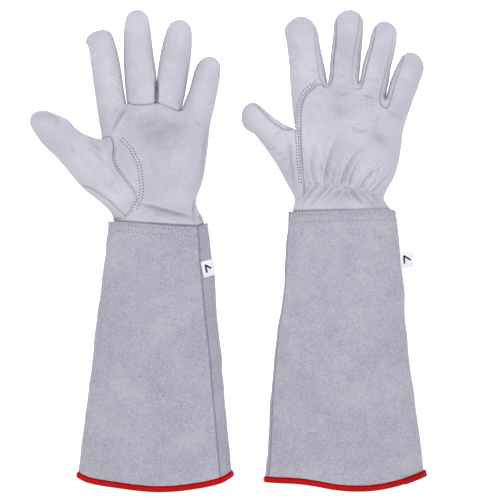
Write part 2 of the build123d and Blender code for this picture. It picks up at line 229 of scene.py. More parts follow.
# Creases and folds: points, half width, depth (negative: a ridge), fullness of the roll on its left.
CREASES = dict(
    left_palm=[
        ([(-94.4, 134.5), (-99, 127), (-104.5, 117.9), (-110, 107.6)], 2.2, 1.3, 1.0),
        ([(-100, 136), (-105, 129), (-108, 121)], 1.5, 0.5, 0.3),
        ([(-22.8, 121.6), (-24.6, 93.7), (-27.8, 65.8), (-30, 51.4)], 3.0, -0.7, 0),
        ([(-17.5, 122), (-19.5, 108), (-22.2, 92), (-25.6, 70), (-30.4, 55)], 0.9, 1.2, 0.4),
        ([(-31.2, 121.6), (-22.8, 115.1)], 1.4, 0.7, 0.3),
        ([(-127, 103.5), (-121.5, 96), (-115, 88)], 1.5, 1.0, 0.6),
        ([(-131, 98), (-122, 90), (-117, 84)], 1.3, 0.6, 0.3),
        ([(-163.7, 129.5), (-159.5, 123.5), (-155.8, 116)], 2.4, 1.3, 0),
        ([(-84, 43), (-61.6, 37.4), (-48.2, 33.6), (-31.3, 30), (-22, 28)], 1.7, 1.9, 1.0),
        ([(-70, 33), (-48, 29.5), (-33, 27.5)], 1.6, 0.7, 0),
        ([(-29.6, 53), (-30.6, 43), (-31.2, 33), (-28.2, 22)], 0.9, 2.4, 0.9),
        ([(-26, 42), (-24.2, 34), (-22.6, 26)], 1.2, -0.8, 0),
        ([(-109, 98), (-108.5, 86), (-106, 77), (-98, 65)], 1.7, -1.1, 0),
        ([(-88, 51), (-91, 43), (-96, 36)], 1.6, -0.9, 0),
        ([(-76, 78), (-75, 64), (-76.5, 52)], 3.0, -0.7, 0),
        ([(-122, 60), (-108, 50), (-99, 42)], 2.4, -0.9, 0),
        ([(-64, 121), (-50, 114), (-36, 113)], 4.0, 0.3, 0.3),
        ([(-94, 120), (-78, 121), (-60, 127)], 3.5, 0.35, 0.3),
        ([(-92, 113), (-76, 117), (-58, 124)], 3.0, 0.3, 0.3),
        ([(-84, 100), (-66, 106), (-44, 118)], 4.0, 0.3, 0.3),
        ([(-150, 99), (-141, 89)], 2.2, 0.5, 0.3),
        ([(-104, 66), (-112, 57)], 1.6, 0.6, 0.3),
        ([(-126, 92), (-113, 80)], 2.0, 0.6, 0.3),
    ],
    right_back=[
        ([(98, 138), (103, 131), (110, 124)], 4.6, 0.6, 0),
        ([(133, 112), (142, 104), (153, 99)], 3.6, 0.8, 0.3),
        ([(142, 128), (139, 117), (137, 106)], 2.6, 0.5, 0.4),
        ([(113.5, 117), (118, 112.2), (125, 110.2), (133, 111.2)], 1.5, 1.2, 0.9),
        ([(44, 107.5), (51.6, 113.8)], 1.5, 0.9, 0.5),
        ([(34.5, 99), (40, 94), (46, 99)], 1.2, 0.9, 0.6),
        ([(38.3, 92.6), (45, 89), (53.6, 91.8)], 1.4, 0.8, 0.5),
        ([(44, 84), (50, 83), (58, 87)], 1.5, 0.7, 0.4),
        ([(52, 70), (64, 78)], 1.7, 0.7, 0.3),
        ([(57, 106), (57.5, 88), (60, 70), (64, 52)], 2.0, 1.1, 0.8),
        ([(98.1, 142.1), (107.4, 145.8), (116.6, 143.9)], 1.6, 0.8, 0.6),
        ([(97, 150), (104, 147.6), (113, 149)], 1.2, 0.6, 0.4),
        ([(124, 146), (131, 143), (139, 143)], 1.3, 0.7, 0.5),
        ([(148, 131), (156, 126), (165, 121)], 1.4, 0.9, 0.7),
        ([(99, 165), (108, 162), (115, 164)], 1.5, 0.5, 0.3),
        ([(71, 170), (79, 167.5), (87, 168)], 1.7, 0.4, 0.2),
        ([(129, 161), (138, 158.5), (145, 159)], 1.4, 0.7, 0.4),
    ],
    left_back=[([(-90, 62), (-60, 58), (-34, 55)], 1.8, 1.2, 0.2)],
    right_palm=[
        ([(78, 41), (105, 40), (140, 42)], 2.2, 1.2, 0.6),
        ([(88, 138), (84, 126), (78, 116)], 2.2, 1.0, 0.6),
    ],
)
# The gathers: short arcs along the elastic of the right hand's back.
ARCS = [
    [(71.5, 64.2), (75, 62), (79.5, 63.5)], [(80, 63), (83.5, 61), (88, 62.6)],
    [(88.5, 62.2), (92.5, 60.2), (97, 61.6)], [(97.5, 61.4), (101.5, 58.8), (106, 60.2)],
    [(106.5, 60), (110.5, 57.6), (115, 58.9)], [(115.5, 58.4), (120, 55.6), (124.5, 56.6)],
    [(125, 56), (129.5, 53.4), (134, 54.4)], [(134.5, 54), (138.5, 51), (143.5, 51.6)],
]
# Pleats that fan out from the elastic: half width, depth, points from the elastic outwards.
PLEATS = dict(
    left_palm=[], right_palm=[],
    right_back=[
        (1.2, 1.2, (74.3, 63.1), (72.5, 74), (72.8, 86)),
        (1.4, 1.5, (81.7, 61.8), (78.7, 78), (82, 102)),
        (1.1, 1.0, (86.5, 62), (86.2, 74), (88.4, 86)),
        (1.7, 1.8, (90.3, 63.1), (94.3, 82), (104.7, 112)),
        (1.1, 1.1, (96.5, 61.5), (98.2, 70), (102, 84)),
        (1.2, 1.1, (101.5, 60.5), (104, 70), (110.8, 84)),
        (1.7, 1.8, (106, 61.8), (111.1, 75.1), (118.4, 87.1), (132, 99)),
        (1.3, 1.4, (113, 60.3), (116, 70), (124, 88)),
        (1.1, 1.1, (119, 58), (124, 67), (131, 77)),
        (1.4, 1.5, (123.4, 57.4), (130, 68), (143, 79)),
        (1.1, 1.0, (129.5, 55), (136, 63), (145, 70)),
        (1.3, 1.3, (134, 54.5), (141, 61), (151, 73)),
        (1.2, 1.3, (76.5, 60.8), (70, 52), (62.5, 41)),
        (1.4, 1.7, (83.3, 60.8), (74, 51), (65, 38)),
        (1.0, 1.0, (88, 60.5), (81, 52), (74, 44)),
        (1.5, 1.7, (92.7, 60.3), (83, 49), (73, 37.5)),
        (1.0, 1.0, (98.5, 58.5), (92, 51), (84, 45)),
        (1.1, 1.1, (105, 56.5), (100, 50), (91, 46)),
        (1.0, 1.0, (110, 56.5), (112, 50), (119, 45)),
        (1.5, 1.7, (114, 57.1), (121, 48), (134.5, 37.5)),
        (1.0, 1.1, (118.5, 55.8), (127, 47), (139, 39)),
        (1.4, 1.7, (123.4, 55), (131, 46), (143.5, 37.5)),
        (1.0, 1.1, (129, 53.8), (136, 46), (146, 39)),
        (1.3, 1.5, (135.4, 53.1), (141, 45), (149.5, 37.5)),
    ],
    left_back=[(1.6, 0.8, *line) for line in (
        [(-84, 62), (-88, 84)], [(-74, 61), (-76, 88)], [(-64, 60), (-62, 86)], [(-53, 59), (-50, 80)],
        [(-43, 58), (-39, 76)], [(-80, 58), (-90, 38)], [(-68, 57), (-70, 36)], [(-56, 56), (-52, 36)],
        [(-45, 55), (-38, 36)])],
)
# Broad, shallow hollows (positive) and swells (negative): centre, radii, depth.
DENTS = dict(
    left_palm=[((-62, 100), (30, 26), 1.8), ((-50, 62), (24, 22), -0.8), ((-33, 88), (10, 26), -0.5)],
    right_back=[((99, 136), (10, 10), 0.8), ((143, 102), (12, 8), 0.6), ((124, 125), (13, 9), -0.8),
                ((92, 112), (14, 22), -0.6), ((140, 84), (12, 14), -0.6)],
    left_back=[], right_palm=[((116, 108), (28, 24), 1.4)],
)
# Darker patches, partly painted shade in hollows, crotches and corners and partly the greyer, duller tone
# of the hide: centre, radii, strength.
PATCHES = dict(
    left_palm=[((-62, 112), (34, 21), 0.34), ((-60, 75), (40, 40), 0.13), ((-170, 126), (10, 6), 0.3),
               ((-50, 36), (26, 5), 0.2), ((-104, 29.6), (7, 1.7), 0.8), ((-66, 149), (1.6, 11), 0.9),
               ((-25.2, 33), (2.4, 6), 0.5), ((-94, 127), (10, 7), 0.15), ((-98, 92), (9, 18), 0.08),
               ((-28, 84), (7, 28), 0.1), ((-151, 108), (15, 17), 0.13)],
    right_back=[((104, 130), (12, 11), 0.18), ((112, 52), (20, 5), 0.16), ((141, 104), (12, 7), 0.17),
                ((108, 192), (9, 27), 0.12), ((143.5, 186), (8, 24), 0.14), ((106, 56), (44, 12), 0.06),
                ((134, 140), (9, 7), 0.1), ((94, 112), (17, 20), 0.08), ((66, 30), (40, 5), 0.1),
                ((147, 144), (1.6, 2.6), 0.9), ((123, 157), (1.4, 2.4), 0.7)],
    left_back=[((-65, 60), (40, 8), 0.12), ((-66, 149), (1.8, 11), 0.9)],
    right_palm=[((115, 110), (30, 24), 0.2)],
)
# Patches of fine parallel wrinkles: centre, radii, direction across them, spacing, depth.
WRINKLES = dict(
    left_palm=[((-103, 162), (6, 24), 62, 4.4, 0.40), ((-121, 98), (11, 8), 50, 3.2, 0.5),
               ((-36, 118), (9, 8), 55, 3.6, 0.3), ((-84, 128), (16, 7), 75, 4.2, 0.3),
               ((-150, 112), (10, 12), 155, 4.0, 0.22), ((-60, 33), (22, 7), 80, 3.6, 0.4),
               ((-102, 132), (6, 9), 40, 3.0, 0.4), ((-60, 96), (26, 14), 60, 5.4, 0.18)],
    right_back=[((107, 147), (12, 9), 95, 3.1, 0.75), ((132, 141), (12, 8), 76, 3.3, 0.6),
                ((124, 119), (15, 10), 80, 3.6, 0.4), ((158, 126), (9, 10), 62, 3.4, 0.5),
                ((42, 104), (11, 9), 125, 3.0, 0.5), ((140, 78), (14, 16), 150, 4.2, 0.45),
                ((74, 165), (8, 20), 85, 4.2, 0.15), ((110, 180), (8, 18), 88, 4.0, 0.2),
                ((102, 76), (30, 16), 10, 4.0, 0.45), ((56, 84), (6, 22), 12, 3.6, 0.4),
                ((78, 50), (16, 9), -42, 3.6, 0.5), ((134, 48), (16, 9), 40, 3.6, 0.5),
                ((142, 182), (7, 18), 85, 4.2, 0.18), ((108, 165), (9, 7), 88, 3.2, 0.25)],
    left_back=[((-84, 140), (12, 8), 88, 3.4, 0.3), ((-56, 138), (11, 8), 92, 3.4, 0.3),
               ((-62, 74), (30, 14), 5, 6.0, 0.3)],
    right_palm=[((84, 128), (14, 8), 100, 4.0, 0.25), ((60, 112), (8, 8), 100, 3.4, 0.3)],
)

# -------------------------------------------------------------------------------------- geometry


def smooth_curve(points, step):
    """A centripetal Catmull-Rom curve through the points, resampled evenly, about a step apart."""
    p = np.array(points, float)
    p = np.vstack([2 * p[0] - p[1], p, 2 * p[-1] - p[-2]])
    dense = []
    for a, b, c, d in zip(p, p[1:], p[2:], p[3:]):
        t1 = np.linalg.norm(b - a) ** 0.5 + 1e-9
        t2 = t1 + np.linalg.norm(c - b) ** 0.5
        t3 = t2 + np.linalg.norm(d - c) ** 0.5 + 1e-9
        t = np.linspace(t1, t2, 10, endpoint=False)[:, None]
        a1 = (t1 - t) / t1 * a + t / t1 * b
        a2 = (t2 - t) / (t2 - t1) * b + (t - t1) / (t2 - t1) * c
        a3 = (t3 - t) / (t3 - t2) * c + (t - t2) / (t3 - t2) * d
        b1 = (t2 - t) / t2 * a1 + t / t2 * a2
        b2 = (t3 - t) / (t3 - t1) * a2 + (t - t1) / (t3 - t1) * a3
        dense.append((t2 - t) / (t2 - t1) * b1 + (t - t1) / (t2 - t1) * b2)
    return even(np.vstack(dense + [p[-2]]), step)


def even(line, step):
    """The line's points moved along it until they are evenly spaced."""
    lengths = np.r_[0, np.cumsum(np.linalg.norm(np.diff(line, axis=0), axis=1))]
    count = max(2, int(round(lengths[-1] / step)) + 1)
    at = np.linspace(0, lengths[-1], count)
    return np.column_stack([np.interp(at, lengths, line[:, k]) for k in range(line.shape[1])])


def measure(line, places):
    """Distance of each place from the line, the side it is on (1: left) and how far along, in mm."""
    best = np.full(len(places), 1e9)
    side, along = np.ones(len(places)), np.zeros(len(places))
    done = 0.0
    for a, b in zip(line, line[1:]):
        d = b - a
        length = np.hypot(*d)
        rel = places - a
        t = np.clip(rel @ d / max(length**2, 1e-12), 0, 1)
        gap = np.hypot(rel[:, 0] - t * d[0], rel[:, 1] - t * d[1])
        near = gap < best
        best[near] = gap[near]
        side[near] = np.sign(d[0] * rel[near, 1] - d[1] * rel[near, 0])
        along[near] = done + t[near] * length
        done += length
    return best, side, along


def to_the_left(steps):
    """Unit vectors square to each step, on its left."""
    left = np.column_stack([-steps[:, 1], steps[:, 0]])
    return left / np.maximum(np.linalg.norm(left, axis=1, keepdims=True), 1e-9)


def nearest(points, place):
    return int(np.argmin(np.hypot(*(points - np.array(place)).T)))


def point_tree(points):
    """A search tree of flat points."""
    tree = KDTree(len(points))
    for k, p in enumerate(points):
        tree.insert((p[0], p[1], 0), k)
    tree.balance()
    return tree


def inside(polygon, places):
    """Whether each place lies in the polygon."""
    x, y = places[:, 0], places[:, 1]
    odd = np.zeros(len(places), bool)
    for a, b in zip(polygon, np.roll(polygon, -1, axis=0)):
        if a[1] != b[1]:
            crosses = (a[1] > y) != (b[1] > y)
            odd ^= crosses & (x < a[0] + (b[0] - a[0]) * (y - a[1]) / (b[1] - a[1]))
    return odd


def smoothstep(value, low, high):
    t = np.clip((value - low) / (high - low), 0, 1)
    return t * t * (3 - 2 * t)


def soft_noise(places, size, seed, octaves=3):
    """Smooth noise between about -1 and 1, from sine waves in seeded directions."""
    rng = np.random.default_rng(seed)
    total = np.zeros(len(places))
    for octave in range(octaves):
        wave = np.zeros(len(places))
        for _ in range(7):
            turn, phase = rng.uniform(0, 2 * math.pi, 2)
            pull = rng.uniform(0.6, 1.5) * 2 * math.pi / size * 1.9**octave
            wave += np.sin(pull * (places @ np.array([math.cos(turn), math.sin(turn)])) + phase)
        total += wave / 3.0 / 1.9**octave
    return total / 1.6


def vertex_normals(verts, tris):
    a, b, c = (verts[tris[:, k]] for k in range(3))
    face = np.cross(b - a, c - a)
    out = np.zeros_like(verts)
    for k in range(3):
        np.add.at(out, tris[:, k], face)
    return out / np.maximum(np.linalg.norm(out, axis=1, keepdims=True), 1e-12)


def surface_at(tree, x, y, above):
    """The surface's point over (or under) a place and the direction out of it, or None."""
    start, way = (80, -1) if above else (-40, 1)
    hit, normal, _, _ = tree.ray_cast(Vector((x, y, start)), Vector((0, 0, way)))
    if hit is None:
        return None
    return np.array(hit), np.array(normal) * (1 if (normal.z > 0) == above else -1)


def new_object(name, verts, faces, material, painted_shade_and_tone=None, smooth=True):
    """A mesh object from millimetre points, with a darkness for each point, 0 to 1: painted shade, and in
    patches the tone of the hide.
    """
    mesh = bpy.data.meshes.new(name)
    mesh.from_pydata((np.asarray(verts) * MM).tolist(), [], [list(map(int, f)) for f in faces])
    mesh.update()
    if smooth:
        mesh.polygons.foreach_set("use_smooth", [True] * len(mesh.polygons))
    # Each point's darkness, mostly painted shade, kept as an attribute that the materials read.
    layer = mesh.attributes.new("painted_shade_and_tone", "FLOAT", "POINT")
    values = np.zeros(len(verts)) if painted_shade_and_tone is None else painted_shade_and_tone
    layer.data.foreach_set("value", np.asarray(values, np.float32))
    mesh.materials.append(material)
    piece = bpy.data.objects.new(name, mesh)
    bpy.context.collection.objects.link(piece)
    return piece


def leather_piece(name, verts, tris, normals, thickness, material, painted_shade_and_tone):
    """A closed piece of hide: the outer faces, an inner layer, and the cut edge between them."""
    used = np.unique(tris)
    index = np.zeros(len(verts), int)
    index[used] = np.arange(len(used))
    outer, n = index[tris], len(used)
    arrows = {(a, b) for t in outer for a, b in ((t[0], t[1]), (t[1], t[2]), (t[2], t[0]))}
    rim = [(b, a, a + n, b + n) for a, b in sorted(arrows) if (b, a) not in arrows]
    points = np.vstack([verts[used], verts[used] - normals[used] * thickness])
    faces = outer.tolist() + (outer[:, ::-1] + n).tolist() + rim
    # The inner layer is painted a little darker, as shade inside the glove.
    piece = new_object(name, points, faces, material, np.r_[painted_shade_and_tone[used], painted_shade_and_tone[used] + 0.1])
    facing = np.vstack([normals[used], -normals[used]])
    piece.data.normals_split_custom_set_from_vertices(facing.tolist())
    return piece


# -------------------------------------------------------------------------------- shape of a hand


class Fullness:
    """Half the thickness of the stuffed outline, from a relaxed field on a grid 1 mm apart."""

    def __init__(self, silhouette):
        self.edge = silhouette
        self.low = np.floor(silhouette.min(axis=0)) - 3
        size = (np.ceil(silhouette.max(axis=0)) + 4 - self.low).astype(int)
        gx, gy = np.meshgrid(np.arange(size[0]), np.arange(size[1]), indexing="ij")
        places = np.column_stack([gx.ravel(), gy.ravel()]) + self.low
        within = inside(silhouette, places)
        gap = np.zeros(len(places))
        gap[within] = measure(silhouette, places[within])[0]
        within, gap = within.reshape(size), gap.reshape(size)
        field = np.where(within, 0.5, 0.0)
        checker = (gx + gy) % 2 == 0
        pull = 1 / SPREAD**2
        for _ in range(220):
            for colour in (checker, ~checker):
                around = np.zeros_like(field)
                around[1:-1, 1:-1] = (field[2:, 1:-1] + field[:-2, 1:-1] + field[1:-1, 2:]
                                      + field[1:-1, :-2])
                relaxed = (around + pull) / (4 + pull)
                field = np.where(within & colour, field + 1.8 * (relaxed - field), field)
        ratio = np.where(within & (gap > 1.6), field / np.maximum(gap, 0.1), 0)
        known = ratio > 0
        for _ in range(9):
            total, count = np.zeros_like(ratio), np.zeros_like(ratio)
            for dx, dy in ((1, 0), (-1, 0), (0, 1), (0, -1)):
                total += np.roll(np.where(known, ratio, 0), (dx, dy), (0, 1))
                count += np.roll(known, (dx, dy), (0, 1))
            fill = ~known & (count > 0)
            ratio[fill] = total[fill] / count[fill]
            known = known | fill
        self.ratio = ratio

    def at(self, places):
        """(half thickness, distance from the outline) at each place."""
        gap = measure(self.edge, places)[0]
        f = np.clip(places - self.low, 0, np.array(self.ratio.shape) - 1.001)
        i = f.astype(int)
        u, v = (f - i).T
        i, j = i.T
        r = self.ratio
        ratio = ((1 - u) * (1 - v) * r[i, j] + u * (1 - v) * r[i + 1, j]
                 + (1 - u) * v * r[i, j + 1] + u * v * r[i + 1, j + 1])
        return FULLNESS * np.sqrt(np.clip(ratio * gap, 0, 1)), gap


def warp(points, here, there):
    """Points moved from one glove to the other, following their shared landmarks."""
    here, there = np.array(here, float), np.array(there, float)
    basis = np.column_stack([here, np.ones(len(here))])
    fit = np.linalg.lstsq(basis, there, rcond=None)[0]
    points = np.array(points, float)
    base = np.column_stack([points, np.ones(len(points))]) @ fit
    rest = there - basis @ fit
    gaps = np.linalg.norm(points[:, None] - here[None], axis=2)
    weights = 1 / (gaps**2 + 9) ** 1.5
    return base + weights @ rest / weights.sum(axis=1, keepdims=True)


def landmarks(glove):
    tips = [tip for _, tip in glove["digits"].values()]
    hinges = [hinge for hinge, _ in glove["digits"].values()]
    return tips + hinges + glove["crotches"] + [
        glove["thumb_crotch"], glove["outline"][0], glove["outline"][-1], glove["outline"][4]]


class Sheet:
    """One side of a hand: the flat pattern, cut along its lines, and the panel of each triangle."""

    def __init__(self, outline, silhouette, lines, marks):
        fixed = [tuple(p) for p in outline]
        edges = [(i, (i + 1) % len(fixed)) for i in range(len(fixed))]
        self.lines = {}
        for name, points, depth in lines:
            curve = smooth_curve(points, 1.2)
            near = np.array(fixed)
            start, finish = nearest(near, curve[0]), nearest(near, curve[-1])
            ids = [start]
            for p in curve[1:-1]:
                away = np.hypot(*(p - near[start]))
                if name not in FREE_ENDS:
                    away = min(away, np.hypot(*(p - near[finish])))
                if away > 0.6:
                    fixed.append(tuple(p))
                    ids.append(len(fixed) - 1)
            if name in FREE_ENDS:
                fixed.append(tuple(curve[-1]))
                finish = len(fixed) - 1
            ids.append(finish)
            edges += list(zip(ids, ids[1:]))
            self.lines[name] = (np.array([fixed[i] for i in ids]), depth)
        # Rows of points beside the outline and the seams, then an even lattice: each with how far
        # it keeps from the points already there and from the outline.
        steps = np.roll(outline, -1, axis=0) - np.roll(outline, 1, axis=0)
        extra = [(outline - to_the_left(steps) * reach, 0.28 if reach < 0.5 else 0.55, reach * 0.9)
                 for reach in (0.35, 1.0, 1.9, 3.0)]
        for line, depth in self.lines.values():
            if depth:
                left = to_the_left(np.gradient(line, axis=0))
                extra += [(line - left * reach, 0.42, 0.45) for reach in (0.55, -0.55, 1.25, -1.25)]
        low, high = outline.min(axis=0), outline.max(axis=0)
        rows = np.arange(low[1], high[1], SPACING * 0.866)
        lattice = [(x, y) for k, y in enumerate(rows)
                   for x in np.arange(low[0] + (k % 2) * SPACING / 2, high[0], SPACING)]
        extra.append((np.array(lattice), 0.85, 1.0))
        for points, clearance, from_edge in extra:
            taken = point_tree(fixed)
            points = points[inside(outline, points)]
            points = points[measure(silhouette, points)[0] > from_edge]
            fixed += [tuple(p) for p in points if taken.find((p[0], p[1], 0))[2] > clearance]
        verts, joins, faces, verts_from, joins_from, _ = delaunay_2d_cdt(
            [Vector(p) for p in fixed], edges, [], 0, 1e-5, True)
        self.places = np.array([tuple(v) for v in verts])
        self.from_outline = {o: k for k, origins in enumerate(verts_from)
                             for o in origins if o < len(outline)}
        tris = np.array([f for f in faces if len(f) == 3])
        self.tris = tris[inside(outline, self.places[tris].mean(axis=1))]
        cuts = {(min(e), max(e)) for e, origins in zip(joins, joins_from) if origins}
        self.panel = self.flood(cuts, marks)

    def flood(self, cuts, marks):
        """The panel name of every triangle, spread from a mark inside each panel to its seams."""
        sides = {}
        for k, t in enumerate(self.tris):
            for a, b in ((t[0], t[1]), (t[1], t[2]), (t[2], t[0])):
                sides.setdefault((min(a, b), max(a, b)), []).append(k)
        neighbours = [[] for _ in self.tris]
        for edge, both in sides.items():
            if len(both) == 2 and edge not in cuts:
                neighbours[both[0]].append(both[1])
                neighbours[both[1]].append(both[0])
        middle = self.places[self.tris].mean(axis=1)
        label = [None] * len(self.tris)
        for name, mark in marks:
            seed = nearest(middle, mark)
            queue = [seed] if label[seed] is None else []
            while queue:
                k = queue.pop()
                label[k] = name
                queue += [other for other in neighbours[k] if label[other] is None]
        # The odd triangle shut in between two seams goes with its nearest neighbour.
        lost = [k for k, name in enumerate(label) if name is None]
        known = np.array([k for k, name in enumerate(label) if name is not None])
        for k in lost:
            label[k] = label[known[nearest(middle[known], middle[k])]]
        return np.array(label)


def crotch_strip(curve, tip_a, crotch, tip_b):
    """The seam of a finger's side wall: down one finger, round the crotch and up the next one."""
    start, middle, finish = (nearest(curve, p) for p in (tip_a, crotch, tip_b))
    start, finish = start + 7, finish - 7
    picks = sorted({int(k) for k in np.linspace(start, finish, 15)} | {middle})
    step = np.roll(curve, -2, axis=0) - np.roll(curve, 2, axis=0)
    out = []
    for k in picks:
        inward = np.array([step[k][1], -step[k][0]]) / np.hypot(*step[k])
        reach = 5.2 * smoothstep(min(k - start, finish - k), 0, 14)
        if abs(k - middle) < 4:
            inward, reach = np.array([0.0, -1.0]), 3.8
        out.append(tuple(curve[k] + inward * reach))
    return out


def blot(places, centre, radii):
    """1 at the centre, falling off smoothly to nothing past the radii."""
    return np.exp(-((((places - np.array(centre)) / np.array(radii)) ** 2).sum(axis=1)))


def relief(places, gap, lines, code, seed):
    """(how far each point rises from the smooth surface, how dark it is painted: painted shade in
    grooves, folds, wrinkles and along the outline, less a painted highlight on the crests of folds, and
    in patches the tone of the hide).
    """
    rise, painted_shade_and_tone, shine = (np.zeros(len(places)) for _ in range(3))
    calm = smoothstep(gap, 0.2, 2.2)  # nothing moves on the outline, where the two sheets meet
    for line, depths in lines:
        if depths:
            low, high = line.min(axis=0) - 8, line.max(axis=0) + 8
            near = np.flatnonzero(((places > low) & (places < high)).all(axis=1))
            d, _, along = measure(line, places[near])
            shares, values = zip(*(depths if isinstance(depths, list) else [(0, depths)]))
            depth = np.interp(along / along.max(), shares, values)
            # The groove, the roll beside it, the puckers between stitches, and the shade in the groove.
            wobble = along * 2 * math.pi / 3.3 + 1.2 * np.sin(along / 7)
            rise[near] -= 0.85 * depth * np.exp(-((d / 0.5) ** 2))
            rise[near] += 0.36 * depth * np.exp(-(((d - 2.0) / 1.4) ** 2)) * calm[near]
            rise[near] += 0.16 * depth * np.sin(wobble) * np.exp(-((d / 2.8) ** 2)) * calm[near]
            shade = 0.55 * np.minimum(depth, 1.6) * np.exp(-((d / 0.42) ** 2))
            painted_shade_and_tone[near] = np.maximum(painted_shade_and_tone[near], shade)
    # Each fold ends with the shares of its length over which it opens and closes.
    folds = [(*crease, 0.3, 0.35) for crease in CREASES[code]]
    if code == "right_back":
        folds += [(arc, 1.0, 1.3, 1.0, 0.3, 0.35) for arc in ARCS]
    folds += [(line, width, 1.1 * depth, 0.85 * depth, 0.08, 0.75)
              for width, depth, *line in PLEATS[code]]
    for points, width, depth, roll, opening, closing in folds:
        line = smooth_curve(points, 2.0)
        low, high = line.min(axis=0) - 4 * width, line.max(axis=0) + 4 * width
        near = np.flatnonzero(((places > low) & (places < high)).all(axis=1))
        d, side, along = measure(line, places[near])
        total = np.linalg.norm(np.diff(line, axis=0), axis=1).sum()
        fade = smoothstep(along, -0.05 * total, opening * total) * calm[near]
        fade = fade * smoothstep(total - along, -0.05 * total, closing * total)
        rise[near] -= depth * fade * np.exp(-((d / width) ** 2))
        rise[near] += roll * fade * np.exp(-(((d * side - 1.9 * width) / (1.4 * width)) ** 2))
        # Painted shade along the hollow of each fold, and a painted highlight along the crest of its
        # roll.
        if depth > 0:
            painted_shade_and_tone[near] = np.maximum(painted_shade_and_tone[near], 0.17 * depth * fade * np.exp(-((d / width) ** 2)))
        crest = 0.13 * roll * fade * np.exp(-(((d * side - 1.9 * width) / width) ** 2))
        shine[near] = np.maximum(shine[near], crest)
    for centre, radii, depth in DENTS[code]:
        rise -= depth * blot(places, centre, radii) * calm
    # Darker patches: painted shade in hollows, crotches and corners, and in places the greyer tone of the
    # hide.
    for centre, radii, strength in PATCHES[code]:
        painted_shade_and_tone += strength * blot(places, centre, radii)
    bend = soft_noise(places, 18, seed + 5, 2)
    for centre, radii, turn, spacing, depth in WRINKLES[code]:
        across = places @ np.array([math.cos(math.radians(turn)), math.sin(math.radians(turn))])
        wave = np.sin(2 * math.pi * across / spacing + 2.6 * bend)
        rise += depth * (wave - 0.35 * wave**2) * blot(places, centre, radii) * calm
        # Painted shade in the valleys of the wrinkles.
        painted_shade_and_tone += 0.35 * depth * np.clip(-wave, 0, 1) ** 2 * blot(places, centre, radii) * calm
    rise += calm * (0.34 * soft_noise(places, 30, seed) + 0.10 * soft_noise(places, 6.5, seed + 1, 2))
    # Painted highlight taken off the crests of the folds, and painted shade along the outline where the
    # surface turns down.
    painted_shade_and_tone = np.maximum(painted_shade_and_tone - shine, 0.55 * np.exp(-gap / 0.8))
    return rise, np.clip(painted_shade_and_tone, 0, 1)


